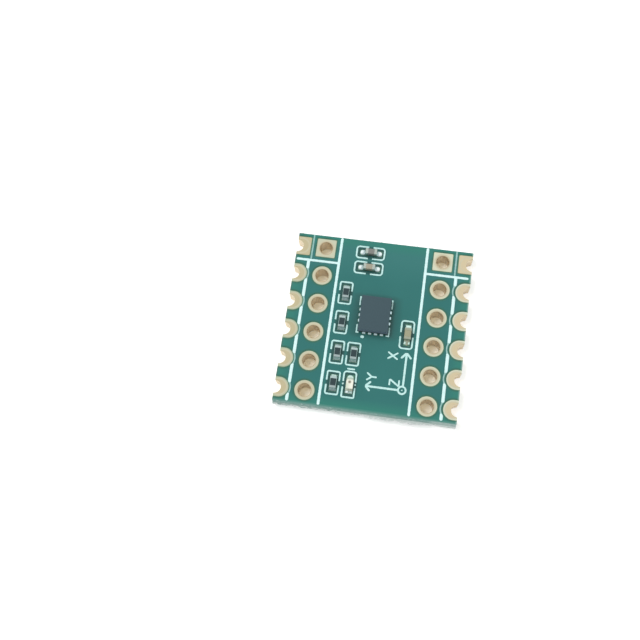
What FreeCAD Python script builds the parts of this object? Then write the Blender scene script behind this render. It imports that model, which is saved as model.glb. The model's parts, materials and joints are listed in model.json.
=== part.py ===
import FreeCAD, Part
import math
import os

os.makedirs("parts", exist_ok=True)

# Frame: the origin is under the middle of the board, on the plane that the board lies on.
# X runs across the board, from one row of edge contacts to the other. Y runs along the rows,
# towards the end with the square pads, and Z points up through the component side.

# Board outline and pin layout
BOARD_WIDTH = 15.24
BOARD_THICKNESS = 1.6
PIN_COUNT = 6
PIN_PITCH = 2.54
ROW_TO_EDGE = 2.54

# Board make-up. Each wave of a snapped edge has its radians per millimetre, its share of the
# raggedness, and the radians by which the front and back edges shift it.
COAT_THICKNESS = 0.05
FOIL_THICKNESS = 0.04
PRINT_THICKNESS = 0.02
SCORE_DEPTH = 0.485
SCORE_ANGLE = 30.0
SNAP_MEAN = 0.045
SNAP_BULGE = 0.05
SNAP_BULGE_X = 3.0
SNAP_BULGE_SPREAD = 1.5
SNAP_STEPS = 38
SNAP_RAGGEDNESS = 0.38
SNAP_WAVES = ((2.1, 1.0, 1), (5.3, 0.8, 2), (11.7, 0.6, 0))

# Plated holes and their pads
HOLE_RADIUS = 0.55
PLATING = 0.03
PAD_RADIUS = 0.85
SQUARE_PAD_SIZE = 1.69
COAT_GAP = 0.06

# Half-hole contacts along the two side edges
CONTACT_RADIUS = 0.55
CONTACT_PAD_RADIUS = 0.85
CONTACT_PAD_INSET = 0.37
SQUARE_CONTACT_REACH = 1.23

# Printed lines
PRINT_SHIFT_X = -0.05
INNER_LINE_OFFSET = 1.34
INNER_LINE_WIDTH = 0.235
OUTER_LINE_INSET = 1.245
OUTER_LINE_WIDTH = 0.27
CROSS_LINE_WIDTH = 0.22
CROSS_LINE_TO_END = 2.52
CROSS_LINE_MARGIN = 0.17
LINE_END_MARGIN = 0.27
ARC_LINE_RADIUS = 0.96
ARC_LINE_WIDTH = 0.12
BESIDE_LINE_WIDTH = 0.14
BESIDE_LINE_INSET = 1.395
BOX_STROKE = 0.145
BOX_GAP = 0.36
MARK_STROKE = 0.12

# Solder, and the coat's opening round a component's pad
SOLDER_FILM = 0.03
SOLDER_HOLLOW = 0.38
SMALL_COAT_GAP = 0.05

# Chip resistors
RESISTOR_LENGTH = 1.0
RESISTOR_WIDTH = 0.55
RESISTOR_HEIGHT = 0.35
RESISTOR_CAP_LENGTH = 0.2
RESISTOR_CAP_THICKNESS = 0.02
RESISTOR_GLAZE_HEIGHT = 0.03
RESISTOR_GLAZE_WIDTH = 0.47
RESISTOR_PAD_SPAN = 1.38
RESISTOR_PAD_LENGTH = 0.41
RESISTOR_PAD_WIDTH = 0.60
RESISTOR_SOLDER_CLIMB = 0.24
RESISTOR_BOX_LENGTH = 2.075
RESISTOR_BOX_WIDTH = 1.19
RESISTOR_BOX_CORNER = 0.20

# Chip capacitors
CAPACITOR_LENGTH = 1.0
CAPACITOR_WIDTH = 0.5
CAPACITOR_HEIGHT = 0.5
CAPACITOR_CAP_LENGTH = 0.24
CAPACITOR_CAP_THICKNESS = 0.02
CAPACITOR_EDGE_BEVEL = 0.025
CAPACITOR_PAD_SPAN = 1.88
CAPACITOR_PAD_LENGTH = 0.64
CAPACITOR_PAD_WIDTH = 0.46
CAPACITOR_SOLDER_CLIMB = 0.32
CAPACITOR_BOX_LENGTH = 2.55
CAPACITOR_BOX_WIDTH = 1.195
CAPACITOR_BOX_CORNER = 0.30

# Indicator lamp
LAMP_LENGTH = 1.14
LAMP_WIDTH = 0.60
LAMP_BASE_HEIGHT = 0.15
LAMP_LENS_LENGTH = 0.88
LAMP_LENS_OFFSET = -0.06
LAMP_LENS_HEIGHT = 0.32
LAMP_LENS_DRAFT = 0.04
LAMP_LENS_EDGE = 0.05
LAMP_END_LENGTH = 0.20
LAMP_END_CORNER = 0.18
LAMP_END_THICKNESS = 0.02
LAMP_DIE_SIZE = 0.16
LAMP_DIE_HEIGHT = 0.10
LAMP_DIE_OFFSET = 0.15
LAMP_PAD_SPAN = 1.56
LAMP_PAD_LENGTH = 0.48
LAMP_SOLDER_CLIMB = 0.14
LAMP_BOX_LENGTH = 2.32
LAMP_BOX_WIDTH = 1.17
LAMP_BOX_BACK_CORNER = 0.30
LAMP_BOX_FRONT_CORNER = 0.14
LAMP_BOX_GAP = 0.46
LAMP_BOX_DOT = 0.15
LAMP_BAR_LENGTH = 0.66
LAMP_BAR_GAP = 0.07

# Motion sensor
SENSOR_WIDTH = 2.5
SENSOR_DEPTH = 3.0
SENSOR_BASE_HEIGHT = 0.18
SENSOR_MOULD_HEIGHT = 0.65
SENSOR_EDGE_RADIUS = 0.02
SENSOR_STANDOFF = 0.05
SENSOR_LAND_PITCH = 0.5
SENSOR_LAND_WIDTH = 0.26
SENSOR_LAND_LENGTH = 0.50
SENSOR_LAND_OVERHANG = 0.12
SENSOR_SOLDER_CLIMB = 0.08
SENSOR_LANDS_ALONG_WIDTH = 4
SENSOR_LANDS_ALONG_DEPTH = 3
LOGIC_DIE_WIDTH = 2.0
LOGIC_DIE_DEPTH = 2.4
LOGIC_DIE_HEIGHT = 0.16
MOTION_DIE_WIDTH = 1.5
MOTION_DIE_DEPTH = 1.8
MOTION_DIE_HEIGHT = 0.30
SENSOR_MARK_GAP_X = 0.07
SENSOR_MARK_GAP_Y = 0.01
SENSOR_MARK_LONG = 0.80
SENSOR_MARK_SHORT = 0.30
PIN_DOT_WIDTH = 0.30
PIN_DOT_HEIGHT = 0.24
PIN_DOT_INSET = 0.43
PIN_DOT_GAP = 0.28

# Places of the components, from the printed lines and the board's ends
LEFT_COLUMN_TO_LINE = 0.94
COLUMN_SPACING = 1.37
RESISTOR_ROW_TO_END = 2.20
RESISTOR_ROW_PITCH = 2.64
RESISTOR_ROWS = 4
CAPACITOR_PAIR_TO_COLUMN = 1.67
CAPACITOR_PAIR_TO_END = 1.24
CAPACITOR_PAIR_PITCH = 1.40
RIGHT_CAPACITOR_TO_LINE = 0.92
RIGHT_CAPACITOR_Y = -0.53
LAMP_TO_END = 2.24
SENSOR_X = -0.10
SENSOR_Y = 0.72

# How near two points must be to count as one, when edges are picked
NEAR = 1e-6

# Sizes and levels worked out from the values above
BOARD_DEPTH = PIN_COUNT * PIN_PITCH
EDGE_X = BOARD_WIDTH / 2
END_Y = BOARD_DEPTH / 2
ROW_X = EDGE_X - ROW_TO_EDGE
FLAT_END_Y = END_Y - SCORE_DEPTH * math.tan(math.radians(SCORE_ANGLE / 2))
CORE_BOTTOM = COAT_THICKNESS
CORE_TOP = BOARD_THICKNESS - COAT_THICKNESS
PAD_TOP = CORE_TOP + FOIL_THICKNESS
PAD_BOTTOM = CORE_BOTTOM - FOIL_THICKNESS
PIN_ROWS_Y = [(PIN_COUNT - 1) * PIN_PITCH / 2 - k * PIN_PITCH for k in range(PIN_COUNT)]
INNER_LINE_X = ROW_X - INNER_LINE_OFFSET
COLUMN_ONE_X = -INNER_LINE_X + LEFT_COLUMN_TO_LINE
COLUMN_TWO_X = COLUMN_ONE_X + COLUMN_SPACING
RESISTOR_ROWS_Y = [-END_Y + RESISTOR_ROW_TO_END + k * RESISTOR_ROW_PITCH for k in range(RESISTOR_ROWS)]
CAPACITOR_PAIR_X = COLUMN_ONE_X + CAPACITOR_PAIR_TO_COLUMN
CAPACITOR_PAIR_Y = END_Y - CAPACITOR_PAIR_TO_END
CHIP_BOTTOM = PAD_TOP + SOLDER_FILM
SENSOR_BOTTOM = PAD_TOP + SENSOR_STANDOFF
PRINT_BOTTOM = BOARD_THICKNESS
PRINT_TOP = BOARD_THICKNESS + PRINT_THICKNESS

# Each component: middle in X, middle in Y, turn in degrees about Z (0 has its ends along X)
RESISTORS = [
    (COLUMN_ONE_X, RESISTOR_ROWS_Y[3], 90),
    (COLUMN_ONE_X, RESISTOR_ROWS_Y[2], 90),
    (COLUMN_ONE_X, RESISTOR_ROWS_Y[1], 90),
    (COLUMN_TWO_X, RESISTOR_ROWS_Y[1], 90),
    (COLUMN_ONE_X, RESISTOR_ROWS_Y[0], 90),
]
CAPACITORS = [
    (CAPACITOR_PAIR_X, CAPACITOR_PAIR_Y, 0),
    (CAPACITOR_PAIR_X, CAPACITOR_PAIR_Y - CAPACITOR_PAIR_PITCH, 0),
    (INNER_LINE_X - RIGHT_CAPACITOR_TO_LINE, RIGHT_CAPACITOR_Y, 90),
]
LAMP = (COLUMN_TWO_X, -END_Y + LAMP_TO_END, 90)


def vec(x, y, z=0.0):
    """A point or direction."""
    return FreeCAD.Vector(x, y, z)


def slab(x0, x1, y0, y1, z0, z1):
    """A block between two corners."""
    return Part.makeBox(x1 - x0, y1 - y0, z1 - z0, vec(x0, y0, z0))


def block(length, width, z0, z1):
    """A block centred on the Z axis."""
    return slab(-length / 2, length / 2, -width / 2, width / 2, z0, z1)


def disc(radius, x, y, z0, z1):
    """An upright cylinder."""
    return Part.makeCylinder(radius, z1 - z0, vec(x, y, z0))


def prism(points, direction):
    """A flat outline of corner points, pushed along a direction."""
    return Part.Face(Part.makePolygon(points + points[:1])).extrude(direction)


def rounded_plate(x0, x1, y0, y1, corners, z0, z1):
    """A plate with a radius at each corner, given in the order -X-Y, +X-Y, +X+Y, -X+Y."""
    plate = slab(x0, x1, y0, y1, z0, z1)
    places = [(x0, y0), (x1, y0), (x1, y1), (x0, y1)]
    for (px, py), radius in zip(places, corners):
        if radius <= 0:
            continue
        upright = [
            edge
            for edge in plate.Edges
            if all(abs(v.X - px) < NEAR and abs(v.Y - py) < NEAR for v in edge.Vertexes)
        ]
        plate = plate.makeFillet(radius, upright)
    return plate


def stroke(x0, y0, x1, y1, width, z0, z1):
    """A straight printed line of one width, with round ends."""
    length = math.hypot(x1 - x0, y1 - y0)
    line = slab(0, length, -width / 2, width / 2, z0, z1)
    line = line.fuse([disc(width / 2, 0, 0, z0, z1), disc(width / 2, length, 0, z0, z1)])
    return placed(line.removeSplitter(), x0, y0, math.degrees(math.atan2(y1 - y0, x1 - x0)))


def placed(shape, x, y, turn=0):
    """A copy of a shape, turned about Z and moved."""
    copy = shape.copy()
    copy.rotate(vec(0, 0), vec(0, 0, 1), turn)
    copy.translate(vec(x, y))
    return copy


def save(name, shapes):
    """Write one sub-part, as one solid or as a group of separate solids."""
    if not isinstance(shapes, list):
        shapes = [shapes]
    solids = [solid for shape in shapes for solid in shape.Solids]
    for solid in solids:
        if not solid.isValid() or solid.Volume <= 0:
            raise ValueError("bad solid in " + name)
    shape = solids[0] if len(solids) == 1 else Part.makeCompound(solids)
    shape.exportStep("parts/" + name + ".step")
    print(name, len(solids), round(sum(solid.Volume for solid in solids), 5))


# Board core: a sheet that was scored along its front and back, snapped out of its panel,
# and routed through a column of plated holes on each side.
def snapped_edge(side):
    """The ragged rib that stays on a snapped edge; side is -1 at the front and 1 at the back."""
    points = []
    for k in range(SNAP_STEPS + 1):
        x = -EDGE_X + BOARD_WIDTH * k / SNAP_STEPS
        ragged = sum(share * math.sin(rate * x + shift * side) for rate, share, shift in SNAP_WAVES)
        reach = SNAP_MEAN * (1 + SNAP_RAGGEDNESS * ragged)
        if side < 0:
            reach += SNAP_BULGE * math.exp(-(((x - SNAP_BULGE_X) / SNAP_BULGE_SPREAD) ** 2))
        points.append(vec(x, side * (END_Y + reach), CORE_BOTTOM + SCORE_DEPTH))
    points.append(vec(EDGE_X, side * FLAT_END_Y, CORE_BOTTOM + SCORE_DEPTH))
    points.append(vec(-EDGE_X, side * FLAT_END_Y, CORE_BOTTOM + SCORE_DEPTH))
    return prism(points, vec(0, 0, CORE_TOP - CORE_BOTTOM - 2 * SCORE_DEPTH))


def board_core():
    """The scored and drilled laminate."""
    section = []
    for side in (-1, 1):
        corners = [
            (FLAT_END_Y, CORE_BOTTOM),
            (END_Y, CORE_BOTTOM + SCORE_DEPTH),
            (END_Y, CORE_TOP - SCORE_DEPTH),
            (FLAT_END_Y, CORE_TOP),
        ]
        for y, z in corners if side > 0 else reversed(corners):
            section.append(vec(-EDGE_X, side * y, z))
    core = prism(section, vec(BOARD_WIDTH, 0, 0))
    core = core.fuse([snapped_edge(-1), snapped_edge(1)])
    drills = []
    for y in PIN_ROWS_Y:
        for side in (-1, 1):
            drills.append(disc(HOLE_RADIUS + PLATING, side * ROW_X, y, 0, BOARD_THICKNESS))
            drills.append(disc(CONTACT_RADIUS + PLATING, side * EDGE_X, y, 0, BOARD_THICKNESS))
    return core.cut(drills).removeSplitter()


# Plated holes: a barrel and its two pads are one piece of plated copper.
def hole_pad(index, grow, z0, z1):
    """The pad of a hole on the right row, square at the first pin; grow is added all round."""
    y = PIN_ROWS_Y[index]
    if index == 0:
        half = SQUARE_PAD_SIZE / 2 + grow
        return slab(ROW_X - half, ROW_X + half, y - half, y + half, z0, z1)
    return disc(PAD_RADIUS + grow, ROW_X, y, z0, z1)


def plated_hole(index):
    """The barrel and pads of one hole on the right row."""
    y = PIN_ROWS_Y[index]
    barrel = disc(HOLE_RADIUS + PLATING, ROW_X, y, PAD_BOTTOM, PAD_TOP)
    pads = [hole_pad(index, 0, PAD_BOTTOM, CORE_BOTTOM), hole_pad(index, 0, CORE_TOP, PAD_TOP)]
    bore = disc(HOLE_RADIUS, ROW_X, y, 0, BOARD_THICKNESS)
    return barrel.fuse(pads).cut(bore).removeSplitter()


# Edge contacts: the same, cut in half by the board's edge.
def contact_pad(index, grow, z0, z1):
    """The pad of an edge contact on the right side, open at the board's edge."""
    y = PIN_ROWS_Y[index]
    if index == 0:
        half = SQUARE_PAD_SIZE / 2 + grow
        return slab(EDGE_X - SQUARE_CONTACT_REACH - grow, EDGE_X, y - half, y + half, z0, z1)
    radius = CONTACT_PAD_RADIUS + grow
    middle = EDGE_X - CONTACT_PAD_INSET
    pad = disc(radius, middle, y, z0, z1).fuse(slab(middle, EDGE_X, y - radius, y + radius, z0, z1))
    return pad.common(slab(0, EDGE_X, y - PIN_PITCH, y + PIN_PITCH, z0, z1)).removeSplitter()


def edge_contact(index):
    """The half barrel and pads of one edge contact on the right side."""
    y = PIN_ROWS_Y[index]
    barrel = disc(CONTACT_RADIUS + PLATING, EDGE_X, y, PAD_BOTTOM, PAD_TOP)
    inboard = slab(0, EDGE_X, y - PIN_PITCH, y + PIN_PITCH, PAD_BOTTOM, PAD_TOP)
    pads = [contact_pad(index, 0, PAD_BOTTOM, CORE_BOTTOM), contact_pad(index, 0, CORE_TOP, PAD_TOP)]
    bore = disc(CONTACT_RADIUS, EDGE_X, y, 0, BOARD_THICKNESS)
    return barrel.common(inboard).fuse(pads).cut(bore).removeSplitter()


def mirrored(shape):
    """The same shape on the left of the board."""
    return shape.mirror(vec(0, 0), vec(1, 0, 0))


# Copper pads under the components, each given in its component's own frame.
def end_pads(span, length, width, grow, z0, z1):
    """The two pads of a chip whose ends lie along X."""
    pad = slab(span / 2 - length - grow, span / 2 + grow, -width / 2 - grow, width / 2 + grow, z0, z1)
    return [placed(pad, 0, 0, turn) for turn in (0, 180)]


def land_places():
    """Middle of the package's edge at each sensor land, with the turn that points outwards."""
    places = []
    for side, turn in ((-1, 270), (1, 90)):
        for k in range(SENSOR_LANDS_ALONG_WIDTH):
            x = (k - (SENSOR_LANDS_ALONG_WIDTH - 1) / 2) * SENSOR_LAND_PITCH
            places.append((SENSOR_X + x, SENSOR_Y + side * SENSOR_DEPTH / 2, turn))
    for side, turn in ((-1, 180), (1, 0)):
        for k in range(SENSOR_LANDS_ALONG_DEPTH):
            y = (k - (SENSOR_LANDS_ALONG_DEPTH - 1) / 2) * SENSOR_LAND_PITCH
            places.append((SENSOR_X + side * SENSOR_WIDTH / 2, SENSOR_Y + y, turn))
    return places


def all_component_pads(grow, z0, z1):
    """Every pad under a component, grown all round by a margin."""
    pads = []
    kinds = [
        (RESISTORS, RESISTOR_PAD_SPAN, RESISTOR_PAD_LENGTH, RESISTOR_PAD_WIDTH),
        (CAPACITORS, CAPACITOR_PAD_SPAN, CAPACITOR_PAD_LENGTH, CAPACITOR_PAD_WIDTH),
        ([LAMP], LAMP_PAD_SPAN, LAMP_PAD_LENGTH, LAMP_WIDTH),
    ]
    for places, span, length, width in kinds:
        for pad in end_pads(span, length, width, grow, z0, z1):
            pads += [placed(pad, *place) for place in places]
    land = slab(
        -SENSOR_LAND_LENGTH - grow,
        SENSOR_LAND_OVERHANG + grow,
        -SENSOR_LAND_WIDTH / 2 - grow,
        SENSOR_LAND_WIDTH / 2 + grow,
        z0,
        z1,
    )
    pads += [placed(land, x, y, turn) for x, y, turn in land_places()]
    return pads


# Green coats: a thin skin on each face, open round every pad.
def coat(z0, z1, with_components):
    """One coat, with the openings for the pads on its side of the board."""
    skin = slab(-EDGE_X, EDGE_X, -FLAT_END_Y, FLAT_END_Y, z0, z1)
    openings = []
    for index in range(PIN_COUNT):
        for pad in (hole_pad(index, COAT_GAP, z0, z1), contact_pad(index, COAT_GAP, z0, z1)):
            openings += [pad, mirrored(pad)]
    if with_components:
        openings += all_component_pads(SMALL_COAT_GAP, z0, z1)
    return skin.cut(openings).removeSplitter()


# Solder: a film under the component's end, and a hollow slope from the pad up to its end face.
def solder_joint(inner, outer, pad_width, chip_width, bottom, climb):
    """A joint whose component ends at X = 0; inner and outer are how far it runs each way."""
    lip = SOLDER_FILM / 2
    foot = vec(outer, 0, PAD_TOP + lip)
    head = vec(0, 0, bottom + climb)
    sag = vec(SOLDER_HOLLOW * outer, 0, foot.z + SOLDER_HOLLOW * (head.z - foot.z))
    edges = [
        Part.makeLine(vec(-inner, 0, PAD_TOP), vec(outer, 0, PAD_TOP)),
        Part.makeLine(vec(outer, 0, PAD_TOP), foot),
        Part.Arc(foot, sag, head).toShape(),
        Part.makeLine(head, vec(0, 0, bottom)),
        Part.makeLine(vec(0, 0, bottom), vec(-inner, 0, bottom)),
        Part.makeLine(vec(-inner, 0, bottom), vec(-inner, 0, PAD_TOP)),
    ]
    slope = Part.Face(Part.Wire(edges)).extrude(vec(0, 2 * pad_width, 0))
    slope.translate(vec(0, -pad_width))
    height = bottom + climb - PAD_TOP
    lean = (pad_width - chip_width) / 2
    low = pad_width / 2 + lean
    high = pad_width / 2 - 2 * lean
    sides = prism(
        [
            vec(-2 * inner, -low, PAD_TOP - height),
            vec(-2 * inner, low, PAD_TOP - height),
            vec(-2 * inner, high, PAD_TOP + 2 * height),
            vec(-2 * inner, -high, PAD_TOP + 2 * height),
        ],
        vec(2 * (inner + outer), 0, 0),
    )
    return slope.common(sides)


def chip_joints(place, length, span, pad_length, pad_width, chip_width, climb):
    """The two solder joints of a chip."""
    outer = (span - length) / 2
    joint = solder_joint(pad_length - outer, outer, pad_width, chip_width, CHIP_BOTTOM, climb)
    x, y, turn = place
    one = placed(joint, length / 2, 0)
    return [placed(one, x, y, turn), placed(one, x, y, turn + 180)]


# Chip resistors: a ceramic block, a metal wrap round each end and a dark glaze between them.
def resistor_pieces():
    """Core, glaze and end wraps, with the ends along X."""
    length = RESISTOR_LENGTH - 2 * RESISTOR_CAP_THICKNESS
    bottom = CHIP_BOTTOM + RESISTOR_CAP_THICKNESS
    top = CHIP_BOTTOM + RESISTOR_HEIGHT - RESISTOR_GLAZE_HEIGHT
    core = block(length, RESISTOR_WIDTH, bottom, top)
    wrap = slab(
        RESISTOR_LENGTH / 2 - RESISTOR_CAP_LENGTH,
        RESISTOR_LENGTH / 2,
        -RESISTOR_WIDTH / 2,
        RESISTOR_WIDTH / 2,
        CHIP_BOTTOM,
        top + RESISTOR_CAP_THICKNESS,
    )
    long_edges = [
        edge
        for edge in wrap.Edges
        if all(abs(v.X - RESISTOR_LENGTH / 2) < NEAR for v in edge.Vertexes)
        and abs(edge.Vertexes[0].Z - edge.Vertexes[1].Z) < NEAR
    ]
    wrap = wrap.makeFillet(RESISTOR_CAP_THICKNESS, long_edges).cut(core)
    glaze_length = RESISTOR_LENGTH - 2 * RESISTOR_CAP_LENGTH
    glaze = block(glaze_length, RESISTOR_GLAZE_WIDTH, top, top + RESISTOR_GLAZE_HEIGHT)
    rim = [
        edge
        for edge in glaze.Edges
        if all(abs(v.Z - top - RESISTOR_GLAZE_HEIGHT) < NEAR for v in edge.Vertexes)
    ]
    glaze = glaze.makeFillet(RESISTOR_GLAZE_HEIGHT / 2, rim)
    return core, glaze, [wrap, placed(wrap, 0, 0, 180)]


# Chip capacitors: a ceramic block with a metal cup over each end.
def capacitor_pieces():
    """Core and end cups, with the ends along X."""
    thickness = CAPACITOR_CAP_THICKNESS
    core = block(
        CAPACITOR_LENGTH - 2 * thickness,
        CAPACITOR_WIDTH - 2 * thickness,
        CHIP_BOTTOM + thickness,
        CHIP_BOTTOM + CAPACITOR_HEIGHT - thickness,
    )
    whole = block(CAPACITOR_LENGTH, CAPACITOR_WIDTH, CHIP_BOTTOM, CHIP_BOTTOM + CAPACITOR_HEIGHT)
    whole = whole.makeChamfer(CAPACITOR_EDGE_BEVEL, whole.Edges)
    end = slab(
        CAPACITOR_LENGTH / 2 - CAPACITOR_CAP_LENGTH,
        CAPACITOR_LENGTH,
        -CAPACITOR_WIDTH,
        CAPACITOR_WIDTH,
        0,
        2 * CHIP_BOTTOM,
    )
    cup = whole.common(end).cut(core)
    return core, [cup, placed(cup, 0, 0, 180)]


# Indicator lamp: a white base with a metal wrap round each end, a die on it and a pale lens. The
# end beside the die is rounded off, and the lens leaves more of it bare.
def lamp_pieces():
    """Base, end wraps, die and lens, with the ends along X."""
    thickness = LAMP_END_THICKNESS
    top = CHIP_BOTTOM + LAMP_BASE_HEIGHT
    half_width = LAMP_WIDTH / 2
    half_length = LAMP_LENGTH / 2
    corners = [0, LAMP_END_CORNER, LAMP_END_CORNER, 0]
    whole = rounded_plate(-half_length, half_length, -half_width, half_width, corners, CHIP_BOTTOM, top)
    inset = half_length - thickness
    base = rounded_plate(
        -inset, inset, -half_width, half_width, corners, CHIP_BOTTOM + thickness, top - thickness
    )
    lens_from = LAMP_LENS_OFFSET - LAMP_LENS_LENGTH / 2
    lens_to = LAMP_LENS_OFFSET + LAMP_LENS_LENGTH / 2
    rise = slab(lens_from, lens_to, -half_width, half_width, top - thickness, top)
    base = base.fuse(rise).removeSplitter()
    reach = half_length - LAMP_END_LENGTH
    bare = slab(-reach, reach, -half_width, half_width, CHIP_BOTTOM, CHIP_BOTTOM + thickness)
    wraps = whole.cut([base, bare]).Solids
    die = slab(
        LAMP_DIE_OFFSET - LAMP_DIE_SIZE / 2,
        LAMP_DIE_OFFSET + LAMP_DIE_SIZE / 2,
        -LAMP_DIE_SIZE / 2,
        LAMP_DIE_SIZE / 2,
        top,
        top + LAMP_DIE_HEIGHT,
    )
    outlines = []
    for inset, z in ((0, top), (LAMP_LENS_DRAFT, top + LAMP_LENS_HEIGHT)):
        x0, x1 = lens_from + inset, lens_to - inset
        side = half_width - inset
        corners = [(x0, -side), (x1, -side), (x1, side), (x0, side), (x0, -side)]
        outlines.append(Part.makePolygon([vec(x, y, z) for x, y in corners]))
    lens = Part.makeLoft(outlines, True, True)
    rim = [
        edge
        for edge in lens.Edges
        if all(v.Z > top + LAMP_LENS_HEIGHT / 2 for v in edge.Vertexes)
    ]
    lens = lens.makeFillet(LAMP_LENS_EDGE, rim).cut(die)
    return base, wraps, die, lens


# Motion sensor: a base with lands, a logic die, the motion die on it, and the moulding over both.
def sensor_pieces():
    """Base, logic die, motion die and moulding, in place."""
    top = SENSOR_BOTTOM + SENSOR_BASE_HEIGHT
    base = block(SENSOR_WIDTH, SENSOR_DEPTH, SENSOR_BOTTOM, top)
    logic = block(LOGIC_DIE_WIDTH, LOGIC_DIE_DEPTH, top, top + LOGIC_DIE_HEIGHT)
    motion_base = top + LOGIC_DIE_HEIGHT
    motion = block(MOTION_DIE_WIDTH, MOTION_DIE_DEPTH, motion_base, motion_base + MOTION_DIE_HEIGHT)
    mould = block(SENSOR_WIDTH, SENSOR_DEPTH, top, top + SENSOR_MOULD_HEIGHT)
    rim = [
        edge
        for edge in mould.Edges
        if all(v.Z > top + SENSOR_MOULD_HEIGHT / 2 for v in edge.Vertexes)
    ]
    mould = mould.makeFillet(SENSOR_EDGE_RADIUS, rim).cut([logic, motion])
    return [placed(shape, SENSOR_X, SENSOR_Y) for shape in (base, logic, motion, mould)]


# Printed lines: pale ink on the component side.
def outline_box(place, length, width, corners, gap):
    """A component's outline with a gap in the middle of each long side, ends along X."""
    outer = rounded_plate(
        -length / 2, length / 2, -width / 2, width / 2, corners, PRINT_BOTTOM, PRINT_TOP
    )
    inner = rounded_plate(
        -length / 2 + BOX_STROKE,
        length / 2 - BOX_STROKE,
        -width / 2 + BOX_STROKE,
        width / 2 - BOX_STROKE,
        [radius - BOX_STROKE if radius > 2 * BOX_STROKE - NEAR else 0 for radius in corners],
        PRINT_BOTTOM,
        PRINT_TOP,
    )
    opening = block(gap, 2 * width, PRINT_BOTTOM, PRINT_TOP)
    x, y, turn = place
    return placed(outer.cut([inner, opening]), x, y, turn)


def row_lines():
    """The long lines beside the pin rows on the right: inner, outer, cross and round the contacts."""
    half_line = INNER_LINE_WIDTH / 2
    start = -FLAT_END_Y + LINE_END_MARGIN
    inner = slab(
        INNER_LINE_X - half_line, INNER_LINE_X + half_line, start, FLAT_END_Y, PRINT_BOTTOM, PRINT_TOP
    )
    inner_end = disc(half_line, INNER_LINE_X, start, PRINT_BOTTOM, PRINT_TOP)
    cross_y = END_Y - CROSS_LINE_TO_END
    cross = stroke(
        INNER_LINE_X,
        cross_y,
        EDGE_X - CROSS_LINE_MARGIN - CROSS_LINE_WIDTH / 2,
        cross_y,
        CROSS_LINE_WIDTH,
        PRINT_BOTTOM,
        PRINT_TOP,
    )
    outer_x = EDGE_X - OUTER_LINE_INSET
    outer = stroke(
        outer_x,
        start - half_line + OUTER_LINE_WIDTH / 2,
        outer_x,
        cross_y,
        OUTER_LINE_WIDTH,
        PRINT_BOTTOM,
        PRINT_TOP,
    )
    middle = EDGE_X - CONTACT_PAD_INSET
    keep_out = [disc(ARC_LINE_RADIUS, middle, y, PRINT_BOTTOM, PRINT_TOP) for y in PIN_ROWS_Y[1:]]
    arcs = []
    for y in PIN_ROWS_Y[1:]:
        ring = disc(ARC_LINE_RADIUS + ARC_LINE_WIDTH, middle, y, PRINT_BOTTOM, PRINT_TOP)
        window = slab(
            middle - ARC_LINE_RADIUS - ARC_LINE_WIDTH,
            outer_x,
            y - ARC_LINE_RADIUS,
            y + ARC_LINE_RADIUS,
            PRINT_BOTTOM,
            PRINT_TOP,
        )
        arcs.append(ring.common(window))
    beside_x = EDGE_X - BESIDE_LINE_INSET
    beside = stroke(
        beside_x,
        cross_y,
        beside_x,
        FLAT_END_Y - BESIDE_LINE_WIDTH / 2,
        BESIDE_LINE_WIDTH,
        PRINT_BOTTOM,
        PRINT_TOP,
    )
    return inner.fuse([inner_end, cross, outer, beside] + arcs).cut(keep_out)


def sensor_marks():
    """Corner marks round the sensor, and the dot at its first land."""
    half_width = SENSOR_WIDTH / 2 + SENSOR_MARK_GAP_X + MARK_STROKE
    half_depth = SENSOR_DEPTH / 2 + SENSOR_MARK_GAP_Y + MARK_STROKE
    marks = []
    for a in (-1, 1):
        for b in (-1, 1):
            corner = prism(
                [
                    vec(0, 0, PRINT_BOTTOM),
                    vec(a * SENSOR_MARK_SHORT, 0, PRINT_BOTTOM),
                    vec(a * SENSOR_MARK_SHORT, b * MARK_STROKE, PRINT_BOTTOM),
                    vec(a * MARK_STROKE, b * MARK_STROKE, PRINT_BOTTOM),
                    vec(a * MARK_STROKE, b * SENSOR_MARK_LONG, PRINT_BOTTOM),
                    vec(0, b * SENSOR_MARK_LONG, PRINT_BOTTOM),
                ],
                vec(0, 0, PRINT_THICKNESS),
            )
            marks.append(placed(corner, SENSOR_X - a * half_width, SENSOR_Y - b * half_depth))
    dot_x = SENSOR_X - SENSOR_WIDTH / 2 + PIN_DOT_INSET
    dot_y = SENSOR_Y - SENSOR_DEPTH / 2 - SENSOR_LAND_OVERHANG - PIN_DOT_GAP
    marks.append(
        rounded_plate(
            dot_x - PIN_DOT_WIDTH / 2,
            dot_x + PIN_DOT_WIDTH / 2,
            dot_y - PIN_DOT_HEIGHT / 2,
            dot_y + PIN_DOT_HEIGHT / 2,
            [PIN_DOT_HEIGHT / 3] * 4,
            PRINT_BOTTOM,
            PRINT_TOP,
        )
    )
    return marks


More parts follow.
